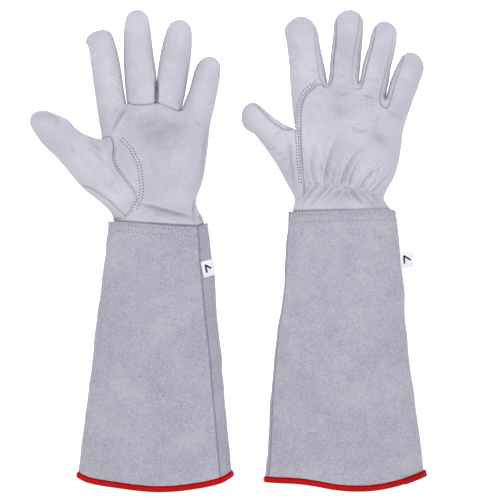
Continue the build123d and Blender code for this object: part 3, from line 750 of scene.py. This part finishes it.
class Hand:
    """Both sheets of a hand in one mesh, with a panel name for every triangle."""

    def __init__(self, glove, twin):
        self.glove = glove
        curve = smooth_curve(glove["outline"], SPACING)
        clear = np.min([np.hypot(*(curve - np.array(c)).T) for c in glove["crotches"]], axis=0)
        outward = to_the_left(np.gradient(curve, axis=0))
        curve = curve + outward * 0.5 * smoothstep(clear, 6, 18)[:, None]
        closing = even(np.array([curve[-1], curve[0]]), SPACING)[1:-1]
        outline = np.vstack([curve, closing])
        drop = np.array([0, -40])
        silhouette = np.vstack([curve[0] + drop, curve, curve[-1] + drop])
        full = Fullness(silhouette)
        self.curve = curve

        def carried(lines, marks):
            """Seams and marks of the twin's pattern, on this glove."""
            here, there = landmarks(twin), landmarks(glove)
            return ([(name, warp(points, here, there), depth) for name, points, depth in lines],
                    [(name, warp([place], here, there)[0]) for name, place in marks])

        palm, palm_marks = PALM_LINES, list(PALM_MARKS.items())
        back, back_marks = BACK_LINES, list(BACK_MARKS.items())
        if glove["palm_up"]:
            back, back_marks = carried(back, back_marks)
            tips = [tip for _, tip in glove["digits"].values()]
            for k, crotch in enumerate(glove["crotches"]):
                back[k] = (back[k][0], crotch_strip(curve, tips[k], crotch, tips[k + 1]), 1.5)
        else:
            palm, palm_marks = carried(palm, palm_marks)
        below = 1.9 if glove["palm_up"] else 1.6
        roots = [(f"fourchette_roots_{k}", (x, y - below)) for k, (x, y) in enumerate(glove["crotches"])]
        palm_sheet = Sheet(outline, silhouette, palm, palm_marks)
        back_sheet = Sheet(outline, silhouette, back, back_marks + self.strip_marks() + roots)
        sheets = [(palm_sheet, "palm"), (back_sheet, "back")]
        if not glove["palm_up"]:
            sheets.reverse()
        shared = len(curve)
        places, rises, painted_shade_and_tone_parts, zs, faces, panels = [curve], [], [], [], [], []
        offset = shared
        for (sheet, key), above in zip(sheets, (True, False)):
            index = np.full(len(sheet.places), -1)
            for o, k in sheet.from_outline.items():
                if o < shared:
                    index[k] = o
            fresh = np.flatnonzero(index < 0)
            index[fresh] = offset + np.arange(len(fresh))
            offset += len(fresh)
            p = sheet.places
            half, gap = full.at(p)
            y = p[:, 1]
            # The sheets part at the height of the seam and are fuller towards the wrist; the lower
            # one is pressed flat where it lies on the table.
            near_wrist = 1 - smoothstep(y, 22, 72)
            mid = SEAM_HEIGHT + 1.0 * (1 - smoothstep(y, 105, 150)) + 4.4 * near_wrist
            if above:
                z = mid + half * (1.16 - 0.3 * near_wrist)
            else:
                floor = TABLE_GAP + 2.1 * (1 - smoothstep(y, 30, 62))
                z = mid - half
                z = 0.5 * (z + floor + np.sqrt((z - floor) ** 2 + 1.5))
                z = np.where(gap < 0.01, mid, np.minimum(z, mid - 0.02 * np.minimum(gap, 1)))
            # Just past the cuff's edge, and under it, the leather lies in shade.
            cuff = np.array(glove["cuff_edge"])
            under = smoothstep(np.interp(p[:, 0], cuff[:, 0], cuff[:, 1]) + 1.9 - y, 0, 1.6)
            seed = SEED + (3 if above else 11) + (20 if glove["palm_up"] else 0)
            rise, painted_shade_and_tone = relief(p, gap, sheet.lines.values(), f"{glove['side']}_{key}", seed)
            painted_shade_and_tone = np.maximum(painted_shade_and_tone, under)
            if above:
                on = index < shared
                for found, values in ((zs, z), (painted_shade_and_tone_parts, painted_shade_and_tone), (rises, rise)):
                    edge = np.zeros(shared)
                    edge[index[on]] = values[on]
                    found.append(edge)
            places.append(p[fresh])
            zs.append(z[fresh])
            painted_shade_and_tone_parts.append(painted_shade_and_tone[fresh])
            rises.append(rise[fresh])
            turned = sheet.tris if above else sheet.tris[:, ::-1]
            faces.append(index[turned])
            panels.append(sheet.panel)
        self.faces = np.vstack(faces)
        self.panel = np.concatenate(panels)
        self.painted_shade_and_tone = np.concatenate(painted_shade_and_tone_parts)
        verts = np.column_stack([np.vstack(places), np.concatenate(zs)])
        normals = vertex_normals(verts, self.faces)
        verts = verts + normals * np.concatenate(rises)[:, None]
        verts[:, 2] = np.maximum(verts[:, 2], 0.25)
        self.verts = verts
        self.normals = vertex_normals(verts, self.faces)
        self.tree = BVHTree.FromPolygons(verts.tolist(), self.faces.tolist())

    def strip_marks(self):
        """A mark inside each finger's side strip, just in from the outline between two fingers."""
        digits, edge = self.glove["digits"], smooth_curve(self.glove["outline"], SPACING)
        names, out = list(digits), []
        for k in range(len(self.glove["crotches"])):
            for name, sign in ((names[k], -1), (names[k + 1], 1)):
                hinge, tip = (np.array(p) for p in digits[name])
                along = (tip - hinge) / np.linalg.norm(tip - hinge)
                level = hinge + along * 22
                across = np.array([along[1], -along[0]])
                reach = ((edge - level) @ across)[np.abs((edge - level) @ along) < 1.2]
                side = reach[reach * -sign > 0]
                closest = side[np.argmin(np.abs(side))]
                out.append((f"{name}_fourchettes", tuple(level + across * (closest + sign * 1.6))))
        crotch, tip = np.array(self.glove["thumb_crotch"]), np.array(digits["thumb"][1])
        middle = crotch + (tip - crotch) * 0.42
        spot = edge[nearest(edge, middle + np.array([0, 8]))]
        return out + [("thumb_side_strips", tuple(spot + np.array([0.0, -1.3])))]


# --------------------------------------------------------------------------------------- stitches


def bead(centre, along, up, length, width, height):
    """Points and faces of one small rounded stitch lying along a surface."""
    across = np.cross(up, along)
    rings, spokes = 3, 6
    points, faces = [centre - along * length / 2], []
    for r in range(rings):
        swing = math.pi * (r + 1) / (rings + 1)
        size, place = math.sin(swing) ** 0.6, -math.cos(swing) * length / 2
        for s in range(spokes):
            turn = 2 * math.pi * s / spokes
            points.append(centre + along * place + size * (
                across * math.cos(turn) * width / 2 + up * math.sin(turn) * height / 2))
    points.append(centre + along * length / 2)
    last = len(points) - 1
    for s in range(spokes):
        n = (s + 1) % spokes
        faces.append((0, 1 + n, 1 + s))
        for r in range(rings - 1):
            a, b = 1 + r * spokes, 1 + (r + 1) * spokes
            faces.append((a + s, a + n, b + n, b + s))
        a = 1 + (rings - 1) * spokes
        faces.append((a + s, a + n, last))
    return points, faces


def sewn_rows(name, tree, rows, above=True, hole=1.2):
    """Rows of stitches, each with a dark bead of painted shade where the needle went through, laid on the
    surface under (or over) each row.

    A row is (points, stitch length, stitch width)."""
    meshes = {name: ([], []), name + "_holes": ([], [])}
    for points, length, width in rows:
        line = even(smooth_curve(points, 0.6), STITCH_PITCH)
        seats = [seat for seat in (surface_at(tree, *p, above) for p in line) if seat]
        for (a, up_a), (b, up_b) in zip(seats, seats[1:]):
            gap = np.linalg.norm(b - a)
            if gap > 2.5 * STITCH_PITCH or gap < 1e-6:
                continue
            up = (up_a + up_b) / 2
            along = (b - a) / gap
            up = up - along * (up @ along)
            up /= np.linalg.norm(up)
            # Each stitch, and a dark bead that paints the shade in its needle hole.
            for key, centre, size in (
                (name, (a + b) / 2 + up * 0.22, (length, width, width)),
                (name + "_holes", a + up_a * 0.08, (hole, 0.93 * hole, 0.36)),
            ):
                verts, faces = meshes[key]
                points_, faces_ = bead(centre, along, up, *size)
                faces += [tuple(i + len(verts) for i in f) for f in faces_]
                verts += points_
    return [new_object(key, verts, faces, HOLE_SHADE if key.endswith("holes") else THREAD)
            for key, (verts, faces) in meshes.items()]


def offset_line(points, reach):
    """The smooth line through the points, moved sideways; positive is to its left."""
    line = smooth_curve(points, 1.5)
    return line + to_the_left(np.gradient(line, axis=0)) * reach


# --------------------------------------------------------------------------------------- gauntlet


class Gauntlet:
    """The flared sleeve, a soft tube built of two suede panels."""

    NEAR_SEAM = np.array([0, 0.35, 0.75, 1.2, 1.8, 2.6])
    ROWS, COLUMNS = 150, 92

    def __init__(self, glove):
        self.glove = glove
        cuff, hem, radial, ulnar = (smooth_curve(glove[edge], 1.0) for edge in (
            "cuff_edge", "hem_edge", "radial_edge", "ulnar_edge"))
        for line in (radial, ulnar):
            length = line[-1, 1] - line[0, 1]
            line[:, 1] = line[0, 1] + (line[:, 1] - line[0, 1]) * (
                (line[-1, 1] + BINDING_PAST - line[0, 1]) / length)
        self.sides = (radial, ulnar)
        self.top, self.bottom = cuff, hem + np.array([0, BINDING_PAST])
        self.upper, self.lower = self.sheet(True), self.sheet(False)
        self.build()

    @staticmethod
    def edge_bulge(line, f):
        """How far the line leaves its own chord, at the share f of its way across."""
        t = (line[:, 0] - line[0, 0]) / (line[-1, 0] - line[0, 0])
        return np.interp(f, t, line[:, 1]) - (line[0, 1] + (line[-1, 1] - line[0, 1]) * f)

    def section(self, t, angles):
        """Points of the tube at height t (0 cuff, 1 hem), at angles from the ulnar edge over the top."""
        a, b = ([np.interp(t, np.linspace(0, 1, len(side)), side[:, k]) for k in (0, 1)]
                for side in self.sides)
        c, s = np.cos(angles), np.sin(angles)
        f = 0.5 + 0.5 * np.sign(c) * np.abs(c) ** 0.92
        x = a[0] + (b[0] - a[0]) * f
        y = a[1] + (b[1] - a[1]) * f
        y = y + (1 - t) ** 6 * self.edge_bulge(self.top, f) + t**3 * self.edge_bulge(self.bottom, f)
        high = CUFF_HEIGHT + (HEM_HEIGHT - BINDING_PAST - CUFF_HEIGHT) * t
        low = TABLE_GAP + 1.0 * t**6
        mid = low + (high - low) * 0.47
        z = np.where(s > 0, mid + (high - mid) * np.abs(s) ** 0.62,
                     mid - (mid - low) * np.abs(s) ** 0.55)
        return np.column_stack([x, y, z])

    def sheet(self, above):
        """A grid of points between the two seams, finer beside the seams."""
        rows = []
        levels, radial_at, ulnar_at = zip(*self.glove["seam_angles"])
        for k in range(self.ROWS + 1):
            t = k / self.ROWS
            radial = math.radians(np.interp(t, levels, radial_at))
            ulnar = math.radians(np.interp(t, levels, ulnar_at))
            ends = (radial, ulnar) if above else (ulnar + 2 * math.pi, radial)
            points = self.section(t, np.linspace(*ends, 500))
            run = np.r_[0, np.cumsum(np.linalg.norm(np.diff(points, axis=0), axis=1))]
            whole = run[-1]
            at = np.r_[self.NEAR_SEAM, np.linspace(3.8, whole - 3.8, self.COLUMNS),
                       whole - self.NEAR_SEAM[::-1]]
            rows.append(np.column_stack([np.interp(at, run, points[:, j]) for j in range(3)]))
        return np.array(rows)

    def build(self):
        rows, cols = self.upper.shape[:2]
        upper = np.arange(rows * cols).reshape(rows, cols)
        lower = rows * cols + np.arange(rows * cols).reshape(rows, cols)
        lower[:, 0], lower[:, -1] = upper[:, -1], upper[:, 0]
        verts = np.vstack([self.upper.reshape(-1, 3), self.lower.reshape(-1, 3)])
        self.grids = []
        for grid in (upper, lower):
            a, b, c, d = (part.ravel() for part in (
                grid[:-1, :-1], grid[1:, :-1], grid[1:, 1:], grid[:-1, 1:]))
            self.grids.append(np.vstack([np.column_stack([a, b, c]), np.column_stack([a, c, d])]))
        faces = np.vstack(self.grids)
        normals = vertex_normals(verts, faces)
        seam = np.minimum(np.arange(cols), np.arange(cols)[::-1])
        away = np.r_[self.NEAR_SEAM, np.full(cols, 9.0)][seam]
        rise = -1.0 * np.exp(-((away / 0.7) ** 2)) + 0.35 * np.exp(-(((away - 2.0) / 1.0) ** 2))
        # Painted shade in the seams' grooves, and a little over the whole lower panel.
        shade = 0.8 * np.exp(-((away / 0.6) ** 2))
        lift = np.tile(rise, 2 * rows)
        painted_shade_and_tone = np.tile(shade, 2 * rows) + 0.16 * (np.arange(2 * rows * cols) >= rows * cols)
        flat = verts[:, :2] + np.outer(verts[:, 2], [0.3, 0.2])
        seed = SEED + (40 if self.glove["palm_up"] else 60)
        t = np.tile(np.repeat(np.arange(rows) / (rows - 1), cols), 2)
        lift = lift + 0.8 * soft_noise(flat, 62, seed, 2) * smoothstep(t, 0, 0.1)
        lift = lift + 0.13 * soft_noise(flat, 13, seed + 1, 2)
        ripple = np.sin(flat[:, 0] / 5.5 + soft_noise(flat, 40, seed + 2, 1))
        lift = lift + 0.28 * ripple * (1 - smoothstep(t, 0.0, 0.16)) * smoothstep(t, 0.0, 0.03)
        # Two rows of stitches hold the cuff down; between them the suede swells.
        depth_in = t * SLEEVE_LENGTH
        for row_at in CUFF_ROWS:
            lift = lift - 0.35 * np.exp(-(((depth_in - row_at) / 0.9) ** 2))
        self.verts = verts + normals * lift[:, None]
        self.verts[:, 2] = np.maximum(self.verts[:, 2], TABLE_GAP - 0.2)
        self.normals = vertex_normals(self.verts, faces)
        # Painted shade along the cuff's edge and where the suede turns away from the light overhead.
        turned_away = 1 - smoothstep(np.abs(self.normals[:, 2]), 0, 0.45)
        self.painted_shade_and_tone = np.clip(painted_shade_and_tone + 0.25 * np.exp(-depth_in / 2.0) + 0.5 * turned_away, 0, 1)
        self.upper_ids, self.lower_ids = upper, lower
        self.tree = BVHTree.FromPolygons(self.verts.tolist(), faces.tolist())

    def pieces(self, material):
        side = self.glove["side"]
        names = ("gauntlet_palm_side", "gauntlet_back_side")
        names = names if self.glove["palm_up"] else names[::-1]
        return {f"{side}_{name}": leather_piece(f"{side}_{name}_suede", self.verts, tris, self.normals,
                                                SUEDE, material, self.painted_shade_and_tone)
                for name, tris in zip(names, self.grids)}

    def hem_ring(self):
        """Ids of the last row round the tube and of the row above it."""
        return [np.r_[self.upper_ids[k], self.lower_ids[k][1:-1]] for k in (-1, -2)]

    def row_below_cuff(self, reach, above):
        """Points across one face, a distance below the cuff's edge."""
        grid = self.upper_ids if above else self.lower_ids
        k = int(round(reach / SLEEVE_LENGTH * (grid.shape[0] - 1)))
        points = self.verts[grid[k]][4:-4:4]
        return points[:, :2] if points[0, 0] < points[-1, 0] else points[::-1, :2]


def swept(count, size, closed):
    """Faces of a row of count sections, each a ring of size points, with or without ends."""
    faces = []
    for k in range(count if closed else count - 1):
        n = (k + 1) % count
        for j in range(size):
            m = (j + 1) % size
            faces.append((k * size + j, k * size + m, n * size + m, n * size + j))
    if not closed:
        faces += [tuple(range(size))[::-1], tuple((count - 1) * size + j for j in range(size))]
    return faces


def binding_band(name, gauntlet, overlap=None):
    """A woven tape folded over the hem. With overlap, a second layer on the upper face only."""
    ring, above = gauntlet.hem_ring()
    p = gauntlet.verts[ring]
    normal = gauntlet.normals[ring].copy()
    normal[:, 1] = 0
    normal /= np.linalg.norm(normal, axis=1, keepdims=True)
    down = p - gauntlet.verts[above]
    down[:, 2] *= 0.4
    down /= np.linalg.norm(down, axis=1, keepdims=True)
    # The section of the tape: how far out of the suede, and how far past its edge.
    width, inner, closed = BINDING_WIDTH - BINDING_PAST, -SUEDE, overlap is None
    if closed:
        profile = [(0.05, -width - 0.1), (0.55, -width - 0.1), (0.85, -width + 0.95), (1.4, -width + 1.4),
                   (1.6, -width * 0.5), (1.45, 0.2), (1.0, 1.0), (0.2, 1.3), (inner - 0.2, 1.3),
                   (inner - 0.9, 0.8), (inner - 1.1, 0), (inner - 1.1, -width),
                   (inner - 0.6, -width - 0.2), (inner - 0.1, -width), (inner - 0.05, -0.2), (0.05, -0.2)]
    else:
        pick = (p[:, 0] > overlap[0]) & (p[:, 0] < overlap[1]) & (p[:, 2] > 14)
        p, normal, down = p[pick], normal[pick], down[pick]
        profile = [(1.15, -width - 0.4), (1.9, -width - 0.5), (2.2, -width + 0.4), (2.2, 0.5),
                   (1.6, 1.5), (0.4, 1.9), (0.3, 1.2), (1.15, 0.8)]
    count, size = len(p), len(profile)
    points = []
    for k in range(count):
        slack = 0.12 * math.sin(k * 0.9) + 0.08 * math.sin(k * 2.3 + 1)
        points += [p[k] + normal[k] * (a + (slack if a > 0.5 else 0)) + down[k] * b for a, b in profile]
    faces = swept(count, size, closed)
    points = np.array(points)
    points[:, 2] = np.maximum(points[:, 2], 0.05)
    # The tape is sewn along its upper edge, which pulls it down into the suede and into shade.
    reaches = np.array([b for _, b in profile])
    shade = np.tile(np.where(reaches < -width + 1, 0.95, 0.0), count)
    return new_object(name, points, faces, TAPE, shade)


# -------------------------------------------------------------------------------------- materials


class Nodes:
    """A material's node tree, with short calls for the nodes used here."""

    def __init__(self, name, colour, roughness, **sockets):
        self.material = bpy.data.materials.new(name)
        self.material.use_nodes = True
        self.tree = self.material.node_tree
        self.shader = self.tree.nodes["Principled BSDF"]
        self.set(self.shader, Roughness=roughness, **{"Base Color": (*colour, 1)})
        self.set(self.shader, **sockets)
        self.place = self.add("ShaderNodeTexCoord").outputs["Object"]

    def add(self, kind, **settings):
        node = self.tree.nodes.new(kind)
        for key, value in settings.items():
            setattr(node, key, value)
        return node

    def set(self, node, **sockets):
        for key, value in sockets.items():
            node.inputs[key.replace("_", " ")].default_value = value

    def link(self, source, node, socket):
        self.tree.links.new(source, node.inputs[socket])

    def noise(self, scale, detail=3.0, rough=0.5):
        node = self.add("ShaderNodeTexNoise")
        self.set(node, Scale=scale, Detail=detail, Roughness=rough)
        self.link(self.place, node, "Vector")
        return node.outputs["Fac"]

    def ramp(self, source, low, high, from_low=0.3, from_high=0.7):
        node = self.add("ShaderNodeMapRange")
        for key, value in (("From Min", from_low), ("From Max", from_high), ("To Min", low),
                           ("To Max", high)):
            node.inputs[key].default_value = value
        self.link(source, node, "Value")
        return node.outputs["Result"]

    def mix(self, fac, a, b):
        """Between colours a and b, each a colour or a socket."""
        node = self.add("ShaderNodeMix", data_type="RGBA")
        for index, value in ((6, a), (7, b)):
            if isinstance(value, tuple):
                node.inputs[index].default_value = (*value, 1)
            else:
                self.tree.links.new(value, node.inputs[index])
        self.tree.links.new(fac, node.inputs[0])
        return node.outputs[2]

    # Each point's darkness: painted shade, and in patches the tone of the hide.
    def painted_shade_and_tone(self):
        return self.add("ShaderNodeAttribute", attribute_name="painted_shade_and_tone").outputs["Fac"]

    def bump(self, *layers):
        """Bumps on one another: (height socket, strength, distance in metres)."""
        normal = None
        for height, strength, distance in layers:
            node = self.add("ShaderNodeBump")
            self.set(node, Strength=strength, Distance=distance)
            self.link(height, node, "Height")
            if normal is not None:
                self.link(normal, node, "Normal")
            normal = node.outputs["Normal"]
        self.link(normal, self.shader, "Normal")


def srgb(r, g, b):
    return tuple((c / 255 / 12.92) if c <= 10 else ((c / 255 + 0.055) / 1.055) ** 2.4 for c in (r, g, b))


def grain_leather():
    m = Nodes("grain_leather", srgb(200, 198, 211), 0.62, Sheen_Weight=0.12, Sheen_Roughness=0.5)
    tone = m.mix(m.ramp(m.noise(28, 4), 0, 1, 0.36, 0.66), srgb(200, 198, 211), srgb(214, 212, 224))
    tone = m.mix(m.ramp(m.noise(420, 3), 0, 0.22), tone, srgb(176, 174, 189))
    # Painted shade, and in patches the tone of the hide, darken the leather point by point.
    tone = m.mix(m.ramp(m.painted_shade_and_tone(), 0, 0.88, 0, 1), tone, srgb(100, 97, 114))
    m.link(tone, m.shader, "Base Color")
    m.link(m.ramp(m.noise(160, 2), 0.5, 0.74), m.shader, "Roughness")
    cells = m.add("ShaderNodeTexVoronoi", feature="SMOOTH_F1")
    m.set(cells, Scale=1150, Smoothness=0.6)
    m.link(m.place, cells, "Vector")
    m.bump((m.noise(230, 4, 0.55), 0.5, 0.0007), (cells.outputs["Distance"], 0.35, 0.00025))
    return m.material


def suede():
    m = Nodes("suede", srgb(180, 178, 193), 0.93, Sheen_Weight=0.3, Sheen_Roughness=0.4)
    tone = m.mix(m.ramp(m.noise(24, 3), 0, 1, 0.36, 0.66), srgb(171, 169, 185), srgb(188, 186, 200))
    tone = m.mix(m.ramp(m.noise(75, 6, 0.7), 0, 0.8, 0.44, 0.7), tone, srgb(161, 159, 176))
    tone = m.mix(m.ramp(m.noise(560, 3, 0.7), 0, 0.75, 0.42, 0.66), tone, srgb(200, 198, 211))
    tone = m.mix(m.ramp(m.noise(430, 3, 0.7), 0, 0.7, 0.54, 0.74), tone, srgb(147, 145, 162))
    # Painted shade darkens the suede point by point, in the seams, along the cuff and on the sides turned
    # from the light.
    tone = m.mix(m.ramp(m.painted_shade_and_tone(), 0, 0.8, 0, 1), tone, srgb(112, 110, 127))
    m.link(tone, m.shader, "Base Color")
    m.bump((m.noise(140, 3), 0.4, 0.0007), (m.noise(620, 4, 0.7), 0.6, 0.0006))
    return m.material


def red_tape():
    m = Nodes("red_binding", srgb(208, 6, 12), 0.7, Specular_IOR_Level=0.15)
    ribs = m.add("ShaderNodeTexWave", wave_type="BANDS", bands_direction="X")
    m.set(ribs, Scale=420, Distortion=1.2, Detail=1.5)
    m.link(m.place, ribs, "Vector")
    tone = m.mix(m.ramp(ribs.outputs["Fac"], 0, 1, 0.1, 0.9), srgb(196, 6, 12), srgb(238, 16, 22))
    tone = m.mix(m.ramp(m.noise(60, 3), 0, 0.5), tone, srgb(196, 4, 10))
    # Painted shade along the tape's sewn upper edge.
    tone = m.mix(m.ramp(m.painted_shade_and_tone(), 0, 0.85, 0, 1), tone, srgb(92, 12, 18))
    m.link(tone, m.shader, "Base Color")
    m.bump((ribs.outputs["Fac"], 0.7, 0.0003), (m.noise(900, 2), 0.3, 0.0002))
    return m.material


def plain_cloth(name, light, dark, roughness, scale, sheen=0.2):
    """Thread, tape or elastic: a fine weave in two close tones."""
    m = Nodes(name, light, roughness, Sheen_Weight=sheen)
    weave = m.add("ShaderNodeTexWave", wave_type="BANDS", bands_direction="DIAGONAL")
    m.set(weave, Scale=scale, Distortion=0.6)
    m.link(m.place, weave, "Vector")
    m.link(m.mix(m.ramp(weave.outputs["Fac"], 0, 1, 0.1, 0.9), dark, light), m.shader, "Base Color")
    m.bump((weave.outputs["Fac"], 0.5, 0.00015))
    return m.material


HIDE, NAP, TAPE = grain_leather(), suede(), red_tape()
THREAD = plain_cloth("sewing_thread", srgb(240, 238, 246), srgb(214, 212, 222), 0.6, 900)
# Dark beads that paint the shade where the needle went through the leather.
HOLE_SHADE = plain_cloth("needle_holes", srgb(106, 103, 118), srgb(84, 82, 96), 0.9, 900, 0)
SATIN = plain_cloth("tab_satin", srgb(253, 252, 255), srgb(240, 239, 250), 0.38, 700, 0.4)
INK = plain_cloth("tab_mark", srgb(40, 42, 56), srgb(28, 30, 42), 0.6, 900, 0)
RUBBER = plain_cloth("wrist_elastic", srgb(214, 212, 222), srgb(176, 174, 188), 0.8, 500)

# -------------------------------------------------------------------------------- small pieces


def ribbon(name, line, ups, material, ribs):
    """The elastic: a flat strip along 3-D points, with fine ribs across it."""
    points = []
    for k, (p, up) in enumerate(zip(line, ups)):
        for a, b in ((-0.5, -0.5), (0.5, -0.5), (0.5, 0.5), (-0.5, 0.5)):
            swell = 1 + ribs * math.cos(k * math.pi)
            points.append(p + np.array([0, a * ELASTIC_WIDTH, 0]) + up * b * ELASTIC_THICKNESS * swell)
    return new_object(name, points, swept(len(line), 4, False), material, smooth=False)


def tab_piece(name, corners, heights, material):
    """A folded tape: two layers that join in a round fold at the free edge.

    corners are the sewn edge's ends, then the free edge's, and heights the tape's middle there."""
    a, b, c, d = (np.array(p, float) for p in corners)
    steps_u, steps_v = 14, 12
    layer = 0.42
    points, faces = [], []
    for i in range(steps_u + 1):
        u = i / steps_u
        sewn, free = a + (b - a) * u, d + (c - d) * u
        profile = [(v / steps_v, layer) for v in range(steps_v)]
        profile += [(1 + 0.035 * math.sin(q), layer * math.cos(q)) for q in np.linspace(0, math.pi, 6)]
        profile += [(v / steps_v, -layer) for v in range(steps_v - 1, -1, -1)]
        for v, h in profile:
            at = sewn + (free - sewn) * v
            z = heights[0] + (heights[1] - heights[0]) * v + 0.5 * math.sin(math.pi * v) + h
            z += 0.25 * math.sin(u * 5 + v * 2) * v
            points.append((at[0], at[1], z))
    size = len(profile)
    for i in range(steps_u):
        for j in range(size):
            n = (j + 1) % size
            faces.append((i * size + j, (i + 1) * size + j, (i + 1) * size + n, i * size + n))
    faces += [tuple(range(size)), tuple(steps_u * size + j for j in range(size))[::-1]]
    return new_object(name, points, faces, material)


# ------------------------------------------------------------------------------- putting together


# Rows of stitches on the upper face of each hand, each beside a seam, with stitch length and width.
THUMB_SEAM, GUSSET_SEAM, INDEX_SEAM = PALM_LINES[5][1], PALM_LINES[6][1], BACK_LINES[3][1]
SEWN = dict(
    left=[
        (offset_line(THUMB_SEAM[3:], 2.0), 1.3, 0.7),
        (offset_line(GUSSET_SEAM[2:-2], 1.6), 1.3, 0.6),
        (offset_line(GUSSET_SEAM[2:-3], -1.5), 1.3, 0.6),
    ],
    right=[
        (offset_line(INDEX_SEAM[2:14], -2.1), 1.4, 0.7),
        (offset_line(INDEX_SEAM[2:14], -4.3), 1.4, 0.7),
    ],
)


def dress_hand(hand):
    side = hand.glove["side"]
    cuff = hand.glove["cuff_y"]
    for panel in sorted(set(hand.panel)):
        piece = leather_piece(f"{side}_{panel}_leather", hand.verts, hand.faces[hand.panel == panel],
                              hand.normals, LEATHER, HIDE, hand.painted_shade_and_tone)
        digit = [d for d in hand.glove["digits"] if panel.startswith(d)]
        if digit and "root" not in panel:
            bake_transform(piece)
        else:
            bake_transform(piece)
        if not panel.startswith("fourchette"):
            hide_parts(f"{side}_{panel}")
    for piece in sewn_rows(f"{side}_hand_stitches", hand.tree, SEWN[side]):
        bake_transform(piece)
    # The elastic is sewn inside the back of the hand, across the wrist.
    back_is_up = not hand.glove["palm_up"]
    row_y = cuff + 26
    across = hand.curve[np.abs(hand.curve[:, 1] - row_y) < 2][:, 0]
    seats = [surface_at(hand.tree, x_at, row_y, back_is_up)
             for x_at in np.linspace(across.min() + 9, across.max() - 9, 60)]
    line = [hit - out * (LEATHER + 2.4) for hit, out in seats]
    elastic = ribbon(f"{side}_wrist_elastic_band", line, [out for _, out in seats], RUBBER, 0.25)
    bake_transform(elastic)
    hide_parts(f"{side}_wrist_elastic")


def dress_gauntlet(glove):
    side = glove["side"]
    body = f"{side}_gauntlet"
    sleeve = Gauntlet(glove)
    for node, piece in sleeve.pieces(NAP).items():
        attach(piece, body)
        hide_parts(node)
    band = binding_band(f"{side}_hem_tape", sleeve)
    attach(band, body)
    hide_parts(f"{side}_hem_binding")
    if glove["overlap"]:
        end = binding_band(f"{side}_hem_tape_end", sleeve, glove["overlap"])
        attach(end, body)
    for name, above in (("cuff_stitches", True), ("cuff_stitches_under", False)):
        rows = [(sleeve.row_below_cuff(reach, above), 1.5, 0.85) for reach in CUFF_ROWS]
        for piece in sewn_rows(f"{side}_{name}", sleeve.tree, rows, above, 0.95):
            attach(piece, body)


def dress_tab(glove):
    side = glove["side"]
    low, high = (np.array(v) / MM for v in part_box(f"{side}_size_tab"))
    if glove["tab"]:
        corners = glove["tab"]
        heights = (high[2] - 1.0, high[2] - 1.6)
    else:
        corners = ((158.6, -1.2), (high[0], -0.2), (high[0] + 0.3, -14.6), (159.7, -16.2))
        heights = (low[2] + 0.8, low[2] + 0.6)
    tab = tab_piece(f"{side}_size_tab_tape", corners, heights, SATIN)
    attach(tab, f"{side}_size_tab")
    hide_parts(f"{side}_size_tab")
    # A plain numeral, a bar and a slanted stroke, stands for the size printed on the tab.
    a, b, _, d = (np.array(p) for p in corners)
    top = max(heights) + 1.05
    points, faces = [], []
    for stroke in (((0.36, 0.24), (0.36, 0.74)), ((0.36, 0.26), (0.78, 0.54))):
        p, q = (a + (b - a) * u + (d - a) * v for u, v in stroke)
        along = (q - p) / np.linalg.norm(q - p)
        aside = np.array([-along[1], along[0]]) * 0.85
        faces += [tuple(len(points) + k for k in f) for f in (
            (1, 3, 5, 7), (6, 4, 2, 0), (0, 2, 3, 1), (2, 4, 5, 3), (4, 6, 7, 5), (6, 0, 1, 7))]
        for at in (p - aside, q - aside, q + aside, p + aside):
            points += [(*at, top - 0.35), (*at, top)]
    mark = new_object(f"{side}_size_mark", points, faces, INK, smooth=False)
    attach(mark, f"{side}_size_tab")


for glove, twin in ((LEFT, RIGHT), (RIGHT, LEFT)):
    dress_hand(Hand(glove, twin))
    dress_gauntlet(glove)
    dress_tab(glove)

# --------------------------------------------------------------------------- floor, light, camera


def area_light(name, place, size, power):
    """A round soft light, turned to the middle of the gloves."""
    data = bpy.data.lights.new(name, "AREA")
    data.shape, data.size, data.energy = "DISK", size, power
    lamp = bpy.data.objects.new(name, data)
    bpy.context.collection.objects.link(lamp)
    lamp.location = place
    lamp.rotation_euler = (-Vector(place)).to_track_quat("-Z", "Y").to_euler()


floor_mesh = bpy.data.meshes.new("floor")
floor_mesh.from_pydata([(-6, -6, 0), (6, -6, 0), (6, 6, 0), (-6, 6, 0)], [], [(0, 1, 2, 3)])
floor = bpy.data.objects.new("floor", floor_mesh)
bpy.context.collection.objects.link(floor)
paper = Nodes("white_paper", (0.9, 0.9, 0.9), 0.9)
paper.set(paper.shader, Emission_Color=(1, 1, 1, 1), Emission_Strength=0.8)
floor_mesh.materials.append(paper.material)

world = bpy.data.worlds.new("studio")
world.use_nodes = True
sky = world.node_tree.nodes["Background"]
sky.inputs["Color"].default_value, sky.inputs["Strength"].default_value = (1, 1, 1, 1), 0.22
bpy.context.scene.world = world
area_light("overhead", (-0.1, 0.5, 2.35), 1.0, 41)
area_light("fill", (0.9, -0.9, 1.4), 1.2, 4)
bpy.context.scene.view_settings.view_transform = "Standard"

camera = bpy.data.cameras.new("camera")
SENSOR, VIEW_HEIGHT, CAMERA_DISTANCE, MID_HEIGHT = 24, 0.465, 3.0, 0.015
camera.sensor_fit, camera.sensor_height = "VERTICAL", SENSOR
camera.lens = SENSOR * CAMERA_DISTANCE / VIEW_HEIGHT
camera_object = bpy.data.objects.new("camera", camera)
camera_object.location = (0.0116, 0.0007, CAMERA_DISTANCE + MID_HEIGHT)
bpy.context.collection.objects.link(camera_object)
bpy.context.scene.camera = camera_object

bpy.context.view_layer.update()
